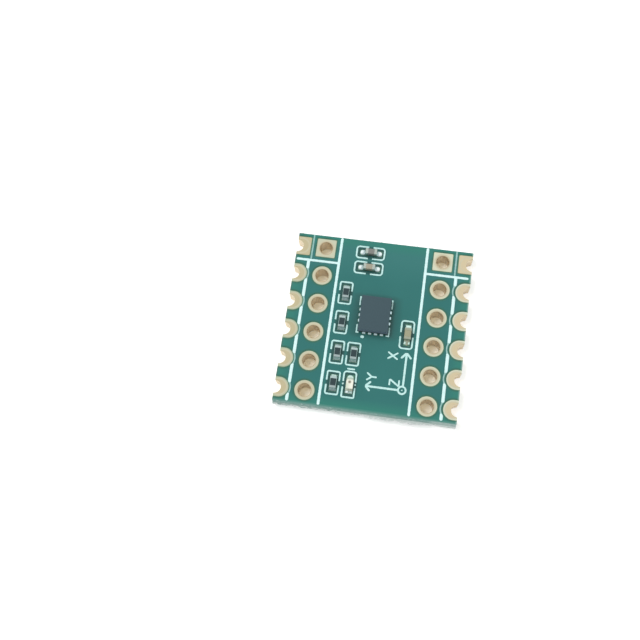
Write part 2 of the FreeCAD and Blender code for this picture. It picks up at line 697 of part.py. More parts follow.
def print_lines():
    """All printed lines, shifted as one print is when its screen lies a little to one side."""
    right = row_lines()
    lines = [right, mirrored(right)] + sensor_marks()
    corners = [RESISTOR_BOX_CORNER] * 4
    for place in RESISTORS:
        lines.append(outline_box(place, RESISTOR_BOX_LENGTH, RESISTOR_BOX_WIDTH, corners, BOX_GAP))
    corners = [CAPACITOR_BOX_CORNER] * 4
    for place in CAPACITORS:
        lines.append(outline_box(place, CAPACITOR_BOX_LENGTH, CAPACITOR_BOX_WIDTH, corners, BOX_GAP))
    corners = [LAMP_BOX_FRONT_CORNER, LAMP_BOX_BACK_CORNER, LAMP_BOX_BACK_CORNER, LAMP_BOX_FRONT_CORNER]
    lines.append(outline_box(LAMP, LAMP_BOX_LENGTH, LAMP_BOX_WIDTH, corners, LAMP_BOX_GAP))
    x, y, turn = LAMP
    side = (LAMP_BOX_WIDTH - BOX_STROKE) / 2
    for a in (-1, 1):
        lines.append(disc(LAMP_BOX_DOT / 2, x + a * side, y, PRINT_BOTTOM, PRINT_TOP))
    bar_y = y + LAMP_BOX_LENGTH / 2 + LAMP_BAR_GAP + BOX_STROKE / 2
    half_bar = (LAMP_BAR_LENGTH - BOX_STROKE) / 2
    lines.append(stroke(x - half_bar, bar_y, x + half_bar, bar_y, BOX_STROKE, PRINT_BOTTOM, PRINT_TOP))
    ink = lines[0].multiFuse(lines[1:]).removeSplitter()
    ink.translate(vec(PRINT_SHIFT_X, 0))
    return ink


def build():
    """Make and save every sub-part."""
    save("board_core", board_core())
    save("coat_top", coat(CORE_TOP, BOARD_THICKNESS, True))
    save("coat_bottom", coat(0, CORE_BOTTOM, False))
    save("print_lines", print_lines())
    for index in range(PIN_COUNT):
        hole = plated_hole(index)
        contact = edge_contact(index)
        number = str(index + 1)
        save("plated_hole_right_" + number, hole)
        save("plated_hole_left_" + number, mirrored(hole))
        save("edge_contact_right_" + number, contact)
        save("edge_contact_left_" + number, mirrored(contact))
    save("component_pads", all_component_pads(0, CORE_TOP, PAD_TOP))

    joints = []
    core, glaze, wraps = resistor_pieces()
    for number, place in enumerate(RESISTORS, 1):
        name = "resistor_" + str(number)
        save(name + "_core", placed(core, *place))
        save(name + "_glaze", placed(glaze, *place))
        save(name + "_ends", [placed(wrap, *place) for wrap in wraps])
        joints += chip_joints(
            place,
            RESISTOR_LENGTH,
            RESISTOR_PAD_SPAN,
            RESISTOR_PAD_LENGTH,
            RESISTOR_PAD_WIDTH,
            RESISTOR_WIDTH,
            RESISTOR_SOLDER_CLIMB,
        )
    core, cups = capacitor_pieces()
    for number, place in enumerate(CAPACITORS, 1):
        name = "capacitor_" + str(number)
        save(name + "_core", placed(core, *place))
        save(name + "_ends", [placed(cup, *place) for cup in cups])
        joints += chip_joints(
            place,
            CAPACITOR_LENGTH,
            CAPACITOR_PAD_SPAN,
            CAPACITOR_PAD_LENGTH,
            CAPACITOR_PAD_WIDTH,
            CAPACITOR_WIDTH,
            CAPACITOR_SOLDER_CLIMB,
        )
    base, wraps, die, lens = lamp_pieces()
    save("lamp_base", placed(base, *LAMP))
    save("lamp_ends", [placed(wrap, *LAMP) for wrap in wraps])
    save("lamp_die", placed(die, *LAMP))
    save("lamp_lens", placed(lens, *LAMP))
    joints += chip_joints(
        LAMP, LAMP_LENGTH, LAMP_PAD_SPAN, LAMP_PAD_LENGTH, LAMP_WIDTH, LAMP_WIDTH, LAMP_SOLDER_CLIMB
    )
    save("component_solder", joints)

    base, logic, motion, mould = sensor_pieces()
    save("sensor_base", base)
    save("sensor_logic_die", logic)
    save("sensor_motion_die", motion)
    save("sensor_moulding", mould)
    joint = solder_joint(
        SENSOR_LAND_LENGTH,
        SENSOR_LAND_OVERHANG,
        SENSOR_LAND_WIDTH,
        SENSOR_LAND_WIDTH,
        SENSOR_BOTTOM,
        SENSOR_SOLDER_CLIMB,
    )
    save("sensor_solder", [placed(joint, *place) for place in land_places()])


build()
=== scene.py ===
# %% [markdown]
# # A motion sensor breakout board
#
# The object is a green circuit board 15 mm square. It carries two rows of plated pin holes, a row of
# half-hole contacts along each side, a few chips the size of sand grains, a lamp and a flat sensor
# package. The hard shapes come from a CAD model in which every piece stands in its place. This file
# gives those pieces their real surfaces, and it redraws the ones whose look depends on soft edges:
# plating, ink, solder, moulded resin and the torn edge of the laminate. A flat CAD face reflects like
# a mirror tile, so round lips and thin fillets are what make such a small thing look real.

# %% Load the CAD pieces
import json
import math

import bmesh
import bpy
import numpy as np
from mathutils import Matrix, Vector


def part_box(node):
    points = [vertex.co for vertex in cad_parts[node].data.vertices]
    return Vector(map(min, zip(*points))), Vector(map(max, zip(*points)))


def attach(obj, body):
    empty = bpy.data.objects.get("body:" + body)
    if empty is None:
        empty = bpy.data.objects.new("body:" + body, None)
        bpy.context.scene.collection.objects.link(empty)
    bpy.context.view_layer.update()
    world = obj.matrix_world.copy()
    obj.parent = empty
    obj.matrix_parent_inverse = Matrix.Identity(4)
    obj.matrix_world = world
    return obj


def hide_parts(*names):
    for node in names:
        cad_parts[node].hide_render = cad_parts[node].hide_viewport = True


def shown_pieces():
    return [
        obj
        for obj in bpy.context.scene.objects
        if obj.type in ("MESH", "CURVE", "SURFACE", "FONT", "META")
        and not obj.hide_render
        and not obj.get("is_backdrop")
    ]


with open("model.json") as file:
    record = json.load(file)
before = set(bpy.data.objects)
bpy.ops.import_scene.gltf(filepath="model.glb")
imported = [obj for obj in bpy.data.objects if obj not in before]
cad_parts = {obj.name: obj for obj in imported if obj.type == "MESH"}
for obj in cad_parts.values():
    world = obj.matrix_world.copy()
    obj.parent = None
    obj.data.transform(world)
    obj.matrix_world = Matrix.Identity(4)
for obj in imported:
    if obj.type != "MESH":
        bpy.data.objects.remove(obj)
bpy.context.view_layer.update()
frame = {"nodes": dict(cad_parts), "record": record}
nodes = frame["nodes"]
MM = 0.001

# %% [markdown]
# Blender measures in metres, and every size on this board is a fraction of a millimetre. The shapes
# below are therefore worked out in millimetres and turned to metres once, when a mesh is filled.
# Sizes that the CAD model already has are read from it, so that nothing can drift apart.


# %% Read a CAD piece's place
def box_mm(name):
    """The lowest and highest corner of a CAD piece, in millimetres."""
    low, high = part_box(name)
    return np.array(low) / MM, np.array(high) / MM


board_low, board_high = box_mm("coat_top")
EDGE_X = board_high[0]
FLAT_END_Y = board_high[1]
COAT_TOP = board_high[2]
CORE_TOP = board_low[2]
hole_low, hole_high = box_mm("plated_hole_right_2")
PAD_TOP = hole_high[2]
PAD_BOTTOM = hole_low[2]
CORE_BOTTOM = box_mm("coat_bottom")[1][2]
print("edge", round(EDGE_X, 3), "coat", round(COAT_TOP, 3), "pad", round(PAD_TOP, 3))

# %% [markdown]
# Each new surface is a grid of points, worked out as whole arrays. A grid can be open, like a sheet,
# or joined along one or both of its directions, like a tube or a ring. Where a row shrinks to a
# point, the doubled points are merged, and the holes that are left get one many-cornered cap. Edges
# are then marked sharp wherever two faces meet at more than a set angle, which keeps a flat pad flat
# and its lip round.


# %% Turn arrays into a mesh
MERGE_WITHIN = 2e-8


def grid_quads(rows, columns, round_rows=False, round_columns=False):
    """Four-cornered faces of a grid, row by row; a round direction joins its last line to its first."""
    row = np.arange(rows if round_rows else rows - 1)[:, None]
    column = np.arange(columns if round_columns else columns - 1)[None, :]
    here = row * columns
    there = (row + 1) % rows * columns
    beside = (column + 1) % columns
    return np.stack([here + column, here + beside, there + beside, there + column], axis=-1).reshape(-1, 4)


def joined(surfaces):
    """Several surfaces, each of points, quads and caps, as one."""
    starts = np.cumsum([0] + [len(points) for points, _, _ in surfaces])
    points = np.concatenate([points for points, _, _ in surfaces])
    quads = np.concatenate([quads + start for (_, quads, _), start in zip(surfaces, starts)])
    caps = [cap + start for (_, _, caps), start in zip(surfaces, starts) for cap in caps]
    return points, quads, caps


def make_piece(name, surfaces, material, stands_for=(), sharp=40):
    """A piece of closed surfaces that rides on the board, its edges sharp from an angle in degrees."""
    points, quads, caps = joined(surfaces)
    corners = np.concatenate([quads.ravel(), *caps]).astype(np.int32)
    sizes = np.array([4] * len(quads) + [len(cap) for cap in caps], np.int32)
    mesh = bpy.data.meshes.new(name)
    mesh.vertices.add(len(points))
    mesh.vertices.foreach_set("co", (points * MM).astype(np.float32).ravel())
    mesh.loops.add(len(corners))
    mesh.loops.foreach_set("vertex_index", corners)
    mesh.polygons.add(len(sizes))
    mesh.polygons.foreach_set("loop_start", (np.cumsum(sizes) - sizes).astype(np.int32))
    mesh.update(calc_edges=True)
    shell = bmesh.new()
    shell.from_mesh(mesh)
    bmesh.ops.remove_doubles(shell, verts=shell.verts, dist=MERGE_WITHIN)
    bmesh.ops.recalc_face_normals(shell, faces=shell.faces)
    open_edges = sum(1 for edge in shell.edges if len(edge.link_faces) != 2)
    shell.to_mesh(mesh)
    shell.free()
    mesh.polygons.foreach_set("use_smooth", np.ones(len(mesh.polygons), bool))
    mesh.set_sharp_from_angle(angle=math.radians(sharp))
    mesh.materials.append(material)
    piece = bpy.data.objects.new(name, mesh)
    bpy.context.scene.collection.objects.link(piece)
    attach(piece, "root")
    if stands_for:
        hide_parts(*stands_for)
    if open_edges:
        print(name, "has", open_edges, "open edges")


# %% [markdown]
# Materials are written as shader nodes. One small function adds a node of any kind, fills its sockets
# and gives back an output for the next node to use. Most finishes here are a first tint with others
# laid over it, each where some measure says so, and a second function lays them in turn, so that a
# material reads from top to bottom like a recipe. Colours are given as they are seen on a screen and
# turned to linear light by one function. Coordinates are scaled so that one unit is one millimetre,
# and so are pattern sizes.


# %% Colours and shader nodes
def colour(code):
    """A screen colour in linear light: c / 12.92 below 0.04045, else ((c + 0.055) / 1.055) ** 2.4."""
    seen = np.array([int(code[k : k + 2], 16) for k in (1, 3, 5)]) / 255
    linear = np.where(seen <= 0.04045, seen / 12.92, ((seen + 0.055) / 1.055) ** 2.4)
    return (*linear.tolist(), 1.0)


def add(tree, kind, inputs=(), output=None, **settings):
    """Add one shader node and give back the named output, or else the first that its settings leave in use.

    Inputs are given by socket, or in the sockets' order. Each is a value, a screen colour or an earlier
    node's output, which is joined.
    """
    made = tree.nodes.new("ShaderNode" + kind)
    for name, value in settings.items():
        setattr(made, name, value)
    for socket, value in inputs.items() if isinstance(inputs, dict) else enumerate(inputs):
        if isinstance(value, bpy.types.NodeSocket):
            tree.links.new(value, made.inputs[socket])
        else:
            made.inputs[socket].default_value = colour(value) if isinstance(value, str) else value
    if output:
        return made.outputs[output]
    return next((socket for socket in made.outputs if socket.enabled), None)


def layered(tree, tint, *layers):
    """Tints laid over a first one. A layer is a tint and its share, or a tint, a measure and a range.

    Over a range the share goes from 0 at its start to 1 at its stop, or from a third number to a fourth.
    """
    for over, share, *span in layers:
        if span:
            share = add(tree, "MapRange", [share, *span])
        tint = add(tree, "Mix", {0: share, 6: tint, 7: over}, data_type="RGBA")
    return tint


def empty_material(name):
    """A material without nodes, and its node tree."""
    material = bpy.data.materials.new(name)
    material.use_nodes = True
    material.node_tree.nodes.clear()
    return material, material.node_tree


def new_material(name, **sockets):
    """A material with one Principled shader, the given sockets set, and coordinates in millimetres."""
    material, tree = empty_material(name)
    sockets = {socket.replace("_", " "): value for socket, value in sockets.items()}
    shader = add(tree, "BsdfPrincipled", sockets)
    add(tree, "OutputMaterial", {"Surface": shader})
    place = add(tree, "TexCoord", output="Object")
    return material, tree, shader, add(tree, "Mapping", {"Vector": place, "Scale": (1 / MM,) * 3})


def wire(tree, shader, tint, normal=None, roughness=None):
    """Join a finish's colour to its shader, and its bent direction and roughness where it has them."""
    for socket, source in (("Base Color", tint), ("Normal", normal), ("Roughness", roughness)):
        if source is not None:
            tree.links.new(source, shader.node.inputs[socket])


# %% [markdown]
# ## The camera
#
# The photograph was taken from above and a little in front. The middles of all the pads were marked
# in it, and a pinhole camera was fitted to their real places on the board. Its place and its three
# directions are written here as found. The camera keeps no shift and no blur.

# %% Camera
camera_data = bpy.data.cameras.new("camera")
camera_data.sensor_width = 36.0
camera_data.lens = 45.98
camera_data.clip_start = 0.001
camera_data.clip_end = 10.0
camera = bpy.data.objects.new("camera", camera_data)
scene = bpy.context.scene
scene.collection.objects.link(camera)
scene.camera = camera
camera_right = (0.9882, 0.1453, -0.0475)
camera_up = (-0.1256, 0.9489, 0.2896)
camera_back = (0.0871, -0.2803, 0.956)
camera_place = np.array([1.38, -19.65, 66.37 + COAT_TOP]) * MM
turn = Matrix((camera_right, camera_up, camera_back)).transposed().to_4x4()
camera.matrix_world = Matrix.Translation(camera_place) @ turn
print("camera at", camera_place.round(4))

# %% [markdown]
# ## Light
#
# The board lies on a white table in soft light. A wide sky gives most of it, and one soft lamp,
# nearly overhead and a little to the left, gives the short shadows. The two together light a level
# surface by just about one, so a colour renders about as it is written. Shiny pieces see a studio
# instead of an even sky: a little dimmer overhead, white round the sides and darker low at the
# front, where the camera stands. Without that difference metal looks like paint. The camera itself
# sees plain white.

# %% World and lamp
scene.view_settings.view_transform = "Standard"
SKY_LEVEL = 0.68
LAMP_LEVEL = 0.37
OVERHEAD_LEVEL = 0.84
FRONT_LEVEL = 0.40
LAMP_DISTANCE = 0.30
world = bpy.data.worlds.new("soft sky")
scene.world = world
world.use_nodes = True
sky = world.node_tree
sky.nodes.clear()
ray = add(sky, "LightPath").node.outputs
x, y, z = add(sky, "SeparateXYZ", [add(sky, "TexCoord", output="Generated")]).node.outputs
overhead = add(sky, "MapRange", [z, 0.70, 0.93, 1.0, OVERHEAD_LEVEL])
front = add(sky, "MapRange", [y, -0.35, -0.95, 1.0, FRONT_LEVEL])
studio = add(sky, "Math", [overhead, front], operation="MULTIPLY")
for_shine = add(sky, "MapRange", [ray["Is Glossy Ray"], 0.0, 1.0, SKY_LEVEL, studio])
plain = add(sky, "Math", [ray["Is Camera Ray"], ray["Is Transmission Ray"]], operation="MAXIMUM")
level = add(sky, "MapRange", [plain, 0.0, 1.0, for_shine, 1.0])
add(sky, "OutputWorld", {"Surface": add(sky, "Background", {"Color": "#FFFFFF", "Strength": level})})

lamp_from = np.array([-0.36, 0.10, 0.93])
lamp_from /= np.linalg.norm(lamp_from)
lamp_light = bpy.data.lights.new("soft lamp", "AREA")
lamp_light.shape = "DISK"
lamp_light.size = 0.10
lamp_light.energy = LAMP_LEVEL * math.pi**2 * LAMP_DISTANCE**2
soft_lamp = bpy.data.objects.new("soft lamp", lamp_light)
soft_lamp.visible_glossy = False
scene.collection.objects.link(soft_lamp)
side = np.cross([0.0, 1.0, 0.0], lamp_from)
side /= np.linalg.norm(side)
facing = Matrix((side, np.cross(lamp_from, side), lamp_from)).transposed().to_4x4()
soft_lamp.matrix_world = Matrix.Translation(lamp_from * LAMP_DISTANCE) @ facing
print("lamp", round(lamp_light.energy, 3), "W, sky", SKY_LEVEL)

# %% [markdown]
# ## Floor
#
# The table is a large matt square just under the board. The camera sees it a little lifted, so that
# the background comes out white and still carries the board's shadow. Under the board, where the
# table shows only through the gilt holes, that lift is low and tinted, because the light that
# reaches it has touched gold on its way down.

# %% Table top
FLOOR_Z = -0.02 * MM
FLOOR_REACH = 3.0
FLOOR_LIFT = 0.42
UNDER_X = 6.6
UNDER_Y = 7.2
corners = [(a * FLOOR_REACH, b * FLOOR_REACH, FLOOR_Z) for a, b in ((-1, -1), (1, -1), (1, 1), (-1, 1))]
table_top = bpy.data.meshes.new("table top")
table_top.from_pydata(corners, [], [(0, 1, 2, 3)])
floor = bpy.data.objects.new("table_top", table_top)
scene.collection.objects.link(floor)
floor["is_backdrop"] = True
painted, tree = empty_material("white table paint")
lift = add(tree, "Math", [add(tree, "LightPath", output="Is Camera Ray"), FLOOR_LIFT], operation="MULTIPLY")
from_middle = add(tree, "VectorMath", [add(tree, "TexCoord", output="Object")], operation="ABSOLUTE")
x, y, z = add(tree, "SeparateXYZ", [from_middle]).node.outputs
under_x = add(tree, "Math", [x, UNDER_X * MM], operation="LESS_THAN")
under_y = add(tree, "Math", [y, UNDER_Y * MM], operation="LESS_THAN")
under = add(tree, "Math", [under_x, under_y], operation="MULTIPLY")
glow = add(tree, "Emission", {"Color": layered(tree, "#FFFFFF", ("#A89B72", under)), "Strength": lift})
both = add(tree, "AddShader", [add(tree, "BsdfDiffuse", {"Color": "#F1F1F0"}), glow])
add(tree, "OutputMaterial", {"Surface": both})
table_top.materials.append(painted)
print("table top", 2 * FLOOR_REACH, "m wide")

# %% [markdown]
# ## Glass-fibre laminate
#
# The board's core is woven glass cloth in epoxy resin, pressed into a sheet. Its faces are hidden by
# the green coat. On the cut edges the eye sees pale, dry, yellowish-green material with the ends of
# the yarns as short lighter dashes, a little under half a millimetre apart and in layers about
# 0.17 mm thick. A cell pattern that is squeezed in height gives those dashes. The scored slopes at the
# front and back are different: the cutter smears them with green near the top and leaves them dusty
# below, with small dark specks. Towards the right end they are paler, and almost white low down. A
# test on height gives the resin a darker green where the coat leaves a hairline open round a pad: the
# laminate's own tone with a painted shade of that narrow gap.

# %% Laminate material
YARN_WIDTH = 0.42
CLOTH_LAYER = 0.17
laminate, tree, shader, mm = new_material("glass-fibre laminate, sawn", Roughness=0.75, IOR=1.5)
squeezed = add(tree, "Mapping", {"Vector": mm, "Scale": (1 / YARN_WIDTH, 1 / YARN_WIDTH, 1 / CLOTH_LAYER)})
yarn_ends = add(tree, "TexVoronoi", {"Vector": squeezed, "Scale": 1.0, "Randomness": 0.7}, "Distance")
sawn = layered(tree, "#9DAB94", ("#C6CDB6", yarn_ends, 0.15, 0.55, 1.0, 0.0))
x, y, z = add(tree, "SeparateXYZ", [mm]).node.outputs
powder = add(tree, "TexNoise", {"Vector": mm, "Scale": 1 / 0.20, "Detail": 5.0, "Roughness": 0.75})
to_right = add(tree, "MapRange", [x, 5.4, 6.3])
low_down = add(tree, "MapRange", [z, 1.0, 0.3])
scored = layered(
    tree,
    "#8EABA5",
    ("#79AAA1", z, 1.12, 1.50),
    ("#D5E0DC", x, 5.3, 5.8, 0.0, 0.4),
    ("#5F7670", powder, 0.42, 0.35, 0.0, 0.75),
    ("#DCE6E3", powder, 0.54, 0.70, 0.0, 0.8),
    ("#FAFCFB", add(tree, "Math", [to_right, low_down], operation="MULTIPLY")),
)
from_middle = add(tree, "Math", [y], operation="ABSOLUTE")
in_score = add(tree, "Math", [from_middle, FLAT_END_Y - 0.005], operation="GREATER_THAN")
# Painted shade: the resin in the hairline gap round each pad is painted darker.
gap_shade = add(tree, "Math", [z, CORE_TOP - 0.004], operation="GREATER_THAN")
specks = add(tree, "TexNoise", {"Vector": mm, "Scale": 1 / 0.05, "Detail": 5.0, "Roughness": 0.65})
grit = add(tree, "Bump", {"Height": specks, "Distance": 0.012 * MM, "Strength": 0.8})
wire(tree, shader, layered(tree, sawn, (scored, in_score), ("#5A8A72", gap_shade)), grit)

# %% [markdown]
# ## Green coat
#
# The green is a lacquer, printed on as liquid and cured. It levels out to a soft gloss with a slight
# orange peel, and the copper below makes it a shade bluer and darker than over bare laminate, which
# shows as a brighter green margin along the board's edges. Round each part the lacquer is painted
# darker: a painted shade of the part that stands on it. Both tones come from distances: to the board's
# edge, and to the nearest part and its pads, whose box is read from the CAD model. Beside the sensor
# the painted shade is only faint and soft, twice as wide across the board as along it, so that distance
# is stretched. Round the plated pads the lacquer is thin and olive. The pads repeat every 2.54 mm, so
# the place along a row is wrapped to find how far the nearest one is. Along the right edge the lacquer
# is painted paler, a painted highlight where it rounds over the cut edge. Along the front edge it is
# paler too, and along the left edge it is painted darker, a painted shade. The orange peel is a bump
# half a millimetre wide and a few thousandths of a millimetre high, just enough to bend a reflection.

# %% Distances for the coat
PITCH = 2.54
ROW_X = (hole_low[0] + hole_high[0]) / 2
PAD_INSET = 0.37
FAR = 9.0


def from_pad(tree, mm):
    """The distance from the middle of the nearest round pad or contact pad, in millimetres."""
    x, y, z = add(tree, "SeparateXYZ", [mm]).node.outputs
    wrapped = add(tree, "Math", [y, PITCH, 0.0], operation="WRAP")
    along = add(tree, "Math", [wrapped, PITCH / 2], operation="SUBTRACT")
    from_middle = add(tree, "Math", [x], operation="ABSOLUTE")
    nearest = FAR
    for row_x in (ROW_X, EDGE_X - PAD_INSET):
        across = add(tree, "Math", [from_middle, row_x], operation="SUBTRACT")
        away = add(tree, "VectorMath", [add(tree, "CombineXYZ", [across, along])], operation="LENGTH")
        nearest = add(tree, "Math", [nearest, away], operation="MINIMUM")
    return nearest


def outside_of(tree, mm, name, beyond_ends=0.0):
    """How far a place is from a node's box along X and along Y, zero inside; the box may be made longer."""
    low, high = box_mm(name)
    half = (high - low) / 2
    half[int(np.argmax(half[:2]))] += beyond_ends
    half[2] = FAR
    offset = add(tree, "VectorMath", [mm, ((low + high) / 2).tolist()], operation="SUBTRACT")
    either_way = add(tree, "VectorMath", [offset], operation="ABSOLUTE")
    outside = add(tree, "VectorMath", [either_way, half.tolist()], operation="SUBTRACT")
    return add(tree, "VectorMath", [outside, (0.0, 0.0, 0.0)], operation="MAXIMUM")


print("pads every", PITCH, "mm, rows", round(ROW_X, 3), "mm from the middle")

# %% Coat material
coat, tree, shader, mm = new_material("solder-resist lacquer, cured", IOR=1.52)
x, y, z = add(tree, "SeparateXYZ", [mm]).node.outputs
from_middle = [add(tree, "Math", [part], operation="ABSOLUTE") for part in (x, y)]
outward = add(tree, "Math", from_middle, operation="MAXIMUM")
patches = add(tree, "TexNoise", {"Vector": mm, "Scale": 1 / 3.5, "Detail": 3.0, "Roughness": 0.55})
# Painted shade: near each part's box, and beside the sensor, the lacquer is painted darker.
shaded_parts = [(f"resistor_{k}_ends", 0.19) for k in range(1, 6)]
shaded_parts += [(f"capacitor_{k}_ends", 0.44) for k in range(1, 4)]
shaded_parts += [("lamp_ends", 0.22)]
nearest = FAR
for name, beyond_ends in shaded_parts:
    away = add(tree, "VectorMath", [outside_of(tree, mm, name, beyond_ends)], operation="LENGTH")
    nearest = add(tree, "Math", [nearest, away], operation="MINIMUM")
shade_near_parts = add(tree, "MapRange", [nearest, 0.18, 0.42, 0.9, 0.0], interpolation_type="SMOOTHSTEP")
by_sensor = [outside_of(tree, mm, "sensor_solder"), (0.95, 0.45, 1.0)]
stretched = add(tree, "VectorMath", by_sensor, operation="DIVIDE")
away = add(tree, "VectorMath", [stretched], operation="LENGTH")
shade_by_sensor = add(tree, "MapRange", [away, 0.10, 1.0, 0.60, 0.0])
green = layered(
    tree,
    "#1D6A66",
    ("#25736F", patches),
    ("#2D7672", y, 3.8, 6.0),
    ("#277B6F", outward, EDGE_X - 1.15, EDGE_X - 0.45),
    ("#2D6858", from_pad(tree, mm), 1.08, 0.94, 0.0, 0.8),
    # Painted highlight along the right edge, painted shade along the left edge; the front edge is paler.
    ("#97B9B0", x, EDGE_X - 0.15, EDGE_X - 0.02, 0.0, 0.85),
    ("#4E6A62", x, 0.20 - EDGE_X, 0.06 - EDGE_X, 0.0, 0.45),
    ("#8DB0A6", y, 0.19 - FLAT_END_Y, -FLAT_END_Y, 0.0, 0.35),
    ("#1C4F4C", add(tree, "Math", [shade_near_parts, shade_by_sensor], operation="MAXIMUM")),
)
grain = add(tree, "TexNoise", {"Vector": mm, "Scale": 1 / 0.06, "Detail": 3.0})
fine = add(tree, "Bump", {"Height": grain, "Distance": 0.0015 * MM, "Strength": 0.35})
swell = add(tree, "TexNoise", {"Vector": mm, "Scale": 1 / 0.45})
peel = add(tree, "Bump", {"Height": swell, "Distance": 0.006 * MM, "Strength": 0.7, "Normal": fine})
wire(tree, shader, green, peel, add(tree, "MapRange", [grain, 0.0, 1.0, 0.33, 0.44]))
print("coat: painted shade round", len(shaded_parts), "parts")

# %% [markdown]
# ## Immersion gold
#
# The pads and hole walls are copper with nickel and a very thin layer of gold. The gold is put down
# from a bath, so it is satin and pale, not yellow and mirror-like, and it copies the grain of the
# copper under it. A metal keeps its default IOR, and its colour is the colour of its reflection. The
# gold is warmer inside a hole. Near its lip it is painted a little darker and warmer, a painted shade
# of the wall that drops away below the lip, and towards a pad's rim it is cooler; the distance from
# the pad's middle gives both. The edge contacts are warmer than the holes, and those on the left are a
# little darker. The two square contacts at the back have no cool rim. The grain is 0.03 mm wide, and a
# broad mottle keeps one pad unlike the next.

# %% Gold material
gold, tree, shader, mm = new_material("immersion gold over nickel", Metallic=1.0)
x, y, z = add(tree, "SeparateXYZ", [mm]).node.outputs
to_right = add(tree, "MapRange", [x, -1.0, 1.0])
on_contact = add(tree, "MapRange", [add(tree, "Math", [x], operation="ABSOLUTE"), 6.2, 6.3])
at_back = add(tree, "MapRange", [y, 5.45, 5.55])
on_square = add(tree, "Math", [on_contact, at_back], operation="MULTIPLY")
# Painted shade: near the hole's lip the gold is painted darker and warmer.
contact_inner = layered(tree, "#D7CCA7", ("#E6D7B3", to_right))
contact_rim = layered(tree, "#C0D0B4", ("#ECF0DA", to_right))
inner = layered(tree, "#D3C5A4", (contact_inner, on_contact))
rim = layered(tree, "#DADFC5", ("#E8ECD2", to_right), (contact_rim, on_contact), (inner, on_square))
away = from_pad(tree, mm)
mottle = add(tree, "TexNoise", {"Vector": mm, "Scale": 1 / 0.7, "Detail": 4.0, "Roughness": 0.6})
tint = layered(
    tree,
    "#DFD0B4",
    ("#DDE1C4", mottle),
    (inner, away, 0.66, 0.58),
    (rim, away, 0.68, 0.80, 0.0, 0.85),
    ("#FFF1D6", z, PAD_TOP - 0.03, PAD_TOP - 0.18),
)
grain = add(tree, "TexNoise", {"Vector": mm, "Scale": 1 / 0.03, "Detail": 3.0, "Roughness": 0.6})
satin = add(tree, "Bump", {"Height": grain, "Distance": 0.003 * MM, "Strength": 0.6})
wire(tree, shader, tint, satin, add(tree, "MapRange", [grain, 0.0, 1.0, 0.34, 0.50]))

# %% [markdown]
# ## Ink
#
# The lines and letters are white ink, printed through a screen. It is matt and slightly see-through,
# so the green below cools it to a pale cyan. Where a line is too thin for the screen, the ink lies
# thin as well and more green shows through it. So there are three inks, for broad lines, for narrow
# strokes and for the thinnest. In each, a fine blotchy mix goes between two tints, and a bump with
# the mesh's grain keeps the ink from looking like paper.


# %% Ink materials
def ink_layer(name, low, full):
    """Screen-printed ink that wanders from a see-through tint to a covering one."""
    material, tree, shader, mm = new_material(name, Roughness=0.6, IOR=1.5)
    blotches = add(tree, "TexNoise", {"Vector": mm, "Scale": 1 / 0.22, "Detail": 4.0, "Roughness": 0.65})
    screen = add(tree, "TexNoise", {"Vector": mm, "Scale": 1 / 0.05})
    relief = add(tree, "Bump", {"Height": screen, "Distance": 0.004 * MM, "Strength": 0.5})
    wire(tree, shader, layered(tree, low, (full, blotches, 0.3, 0.6)), relief)
    return material


ink = ink_layer("screen-printed white ink", "#CEF6F4", "#E3FEFD")
fine_ink = ink_layer("screen-printed white ink, narrow strokes", "#BBEAE6", "#CFF4F0")
thin_ink = ink_layer("screen-printed white ink, thin", "#87B7B0", "#9FCAC4")

# %% [markdown]
# ## Solder and tin
#
# Solder freezes from a shining drop, so it is the smoothest thing on the board: bright, with only a
# faint frost of crystals. The brightest drops mirror so much of the white room that no metal's tint
# is left in them. They are drawn as a pale non-metal with a high IOR, and their near-white colour is a
# painted reflection of the room. Some joints cool slowly and come out dull, and some take a mint or
# olive tint from the flux left on them. The chips' ends are plated with tin, which is duller and
# greyer. Most of their look comes from the shape that they freeze in.
# Their frost is a fine noise that moves between two tints and lifts a bump. The same recipe fits the
# fired and moulded bodies further down, so it is written once as a function.


# %% A finish with a fine grain
def grained(name, dark, light, grain, depth, **sockets):
    """A finish that wanders between two tints over grains of a given width and depth, in millimetres."""
    material, tree, shader, mm = new_material(name, **sockets)
    speck = add(tree, "TexNoise", {"Vector": mm, "Scale": 1 / grain, "Detail": 4.0, "Roughness": 0.6})
    frost = add(tree, "Bump", {"Height": speck, "Distance": depth * MM, "Strength": 0.5})
    wire(tree, shader, layered(tree, dark, (light, speck)), frost)
    return material


def metal(name, dark, light, grain, depth, roughness):
    """A grained finish that is a metal."""
    return grained(name, dark, light, grain, depth, Metallic=1.0, Roughness=roughness)


# The bright drops' near-white colour is a painted reflection of the white room.
drop_solder = grained("bright drop of tin solder", "#EAFFFF", "#F8FFFF", 0.08, 0.003, Roughness=0.2, IOR=1.8)
solder = metal("reflowed tin solder", "#CCEBE1", "#E0FAF0", 0.08, 0.005, 0.22)
dull_solder = metal("frosted tin solder", "#AEC4C4", "#C6D9D9", 0.06, 0.006, 0.32)
# Lit and shaded copies of one tin: painted highlight on the back wraps, painted shade on the front ones.
lit_back_tin = metal("matt tin plating", "#B2CBC9", "#D2E6E4", 0.05, 0.005, 0.4)
shaded_front_tin = metal("matt tin plating, painted shade", "#A4B6B6", "#BECFCE", 0.05, 0.005, 0.42)
cup_tin = metal("matt tin over fired silver", "#B5C0B8", "#CDD8CF", 0.05, 0.005, 0.42)
land_tin = metal("solder on the lands", "#C0DCE1", "#D4EDF2", 0.05, 0.005, 0.35)
olive_tin = metal("tarnished tin plating", "#A4AA98", "#BFC4B0", 0.05, 0.005, 0.45)

# %% [markdown]
# ## Fired and moulded bodies
#
# Chip resistors are grey-white alumina with a dark glassy glaze on top. Chip capacitors are fired
# brown ceramic, a little different in tone from one batch to the next. The sensor stands on a dark
# laminate, and inside it lie pieces of ground silicon.

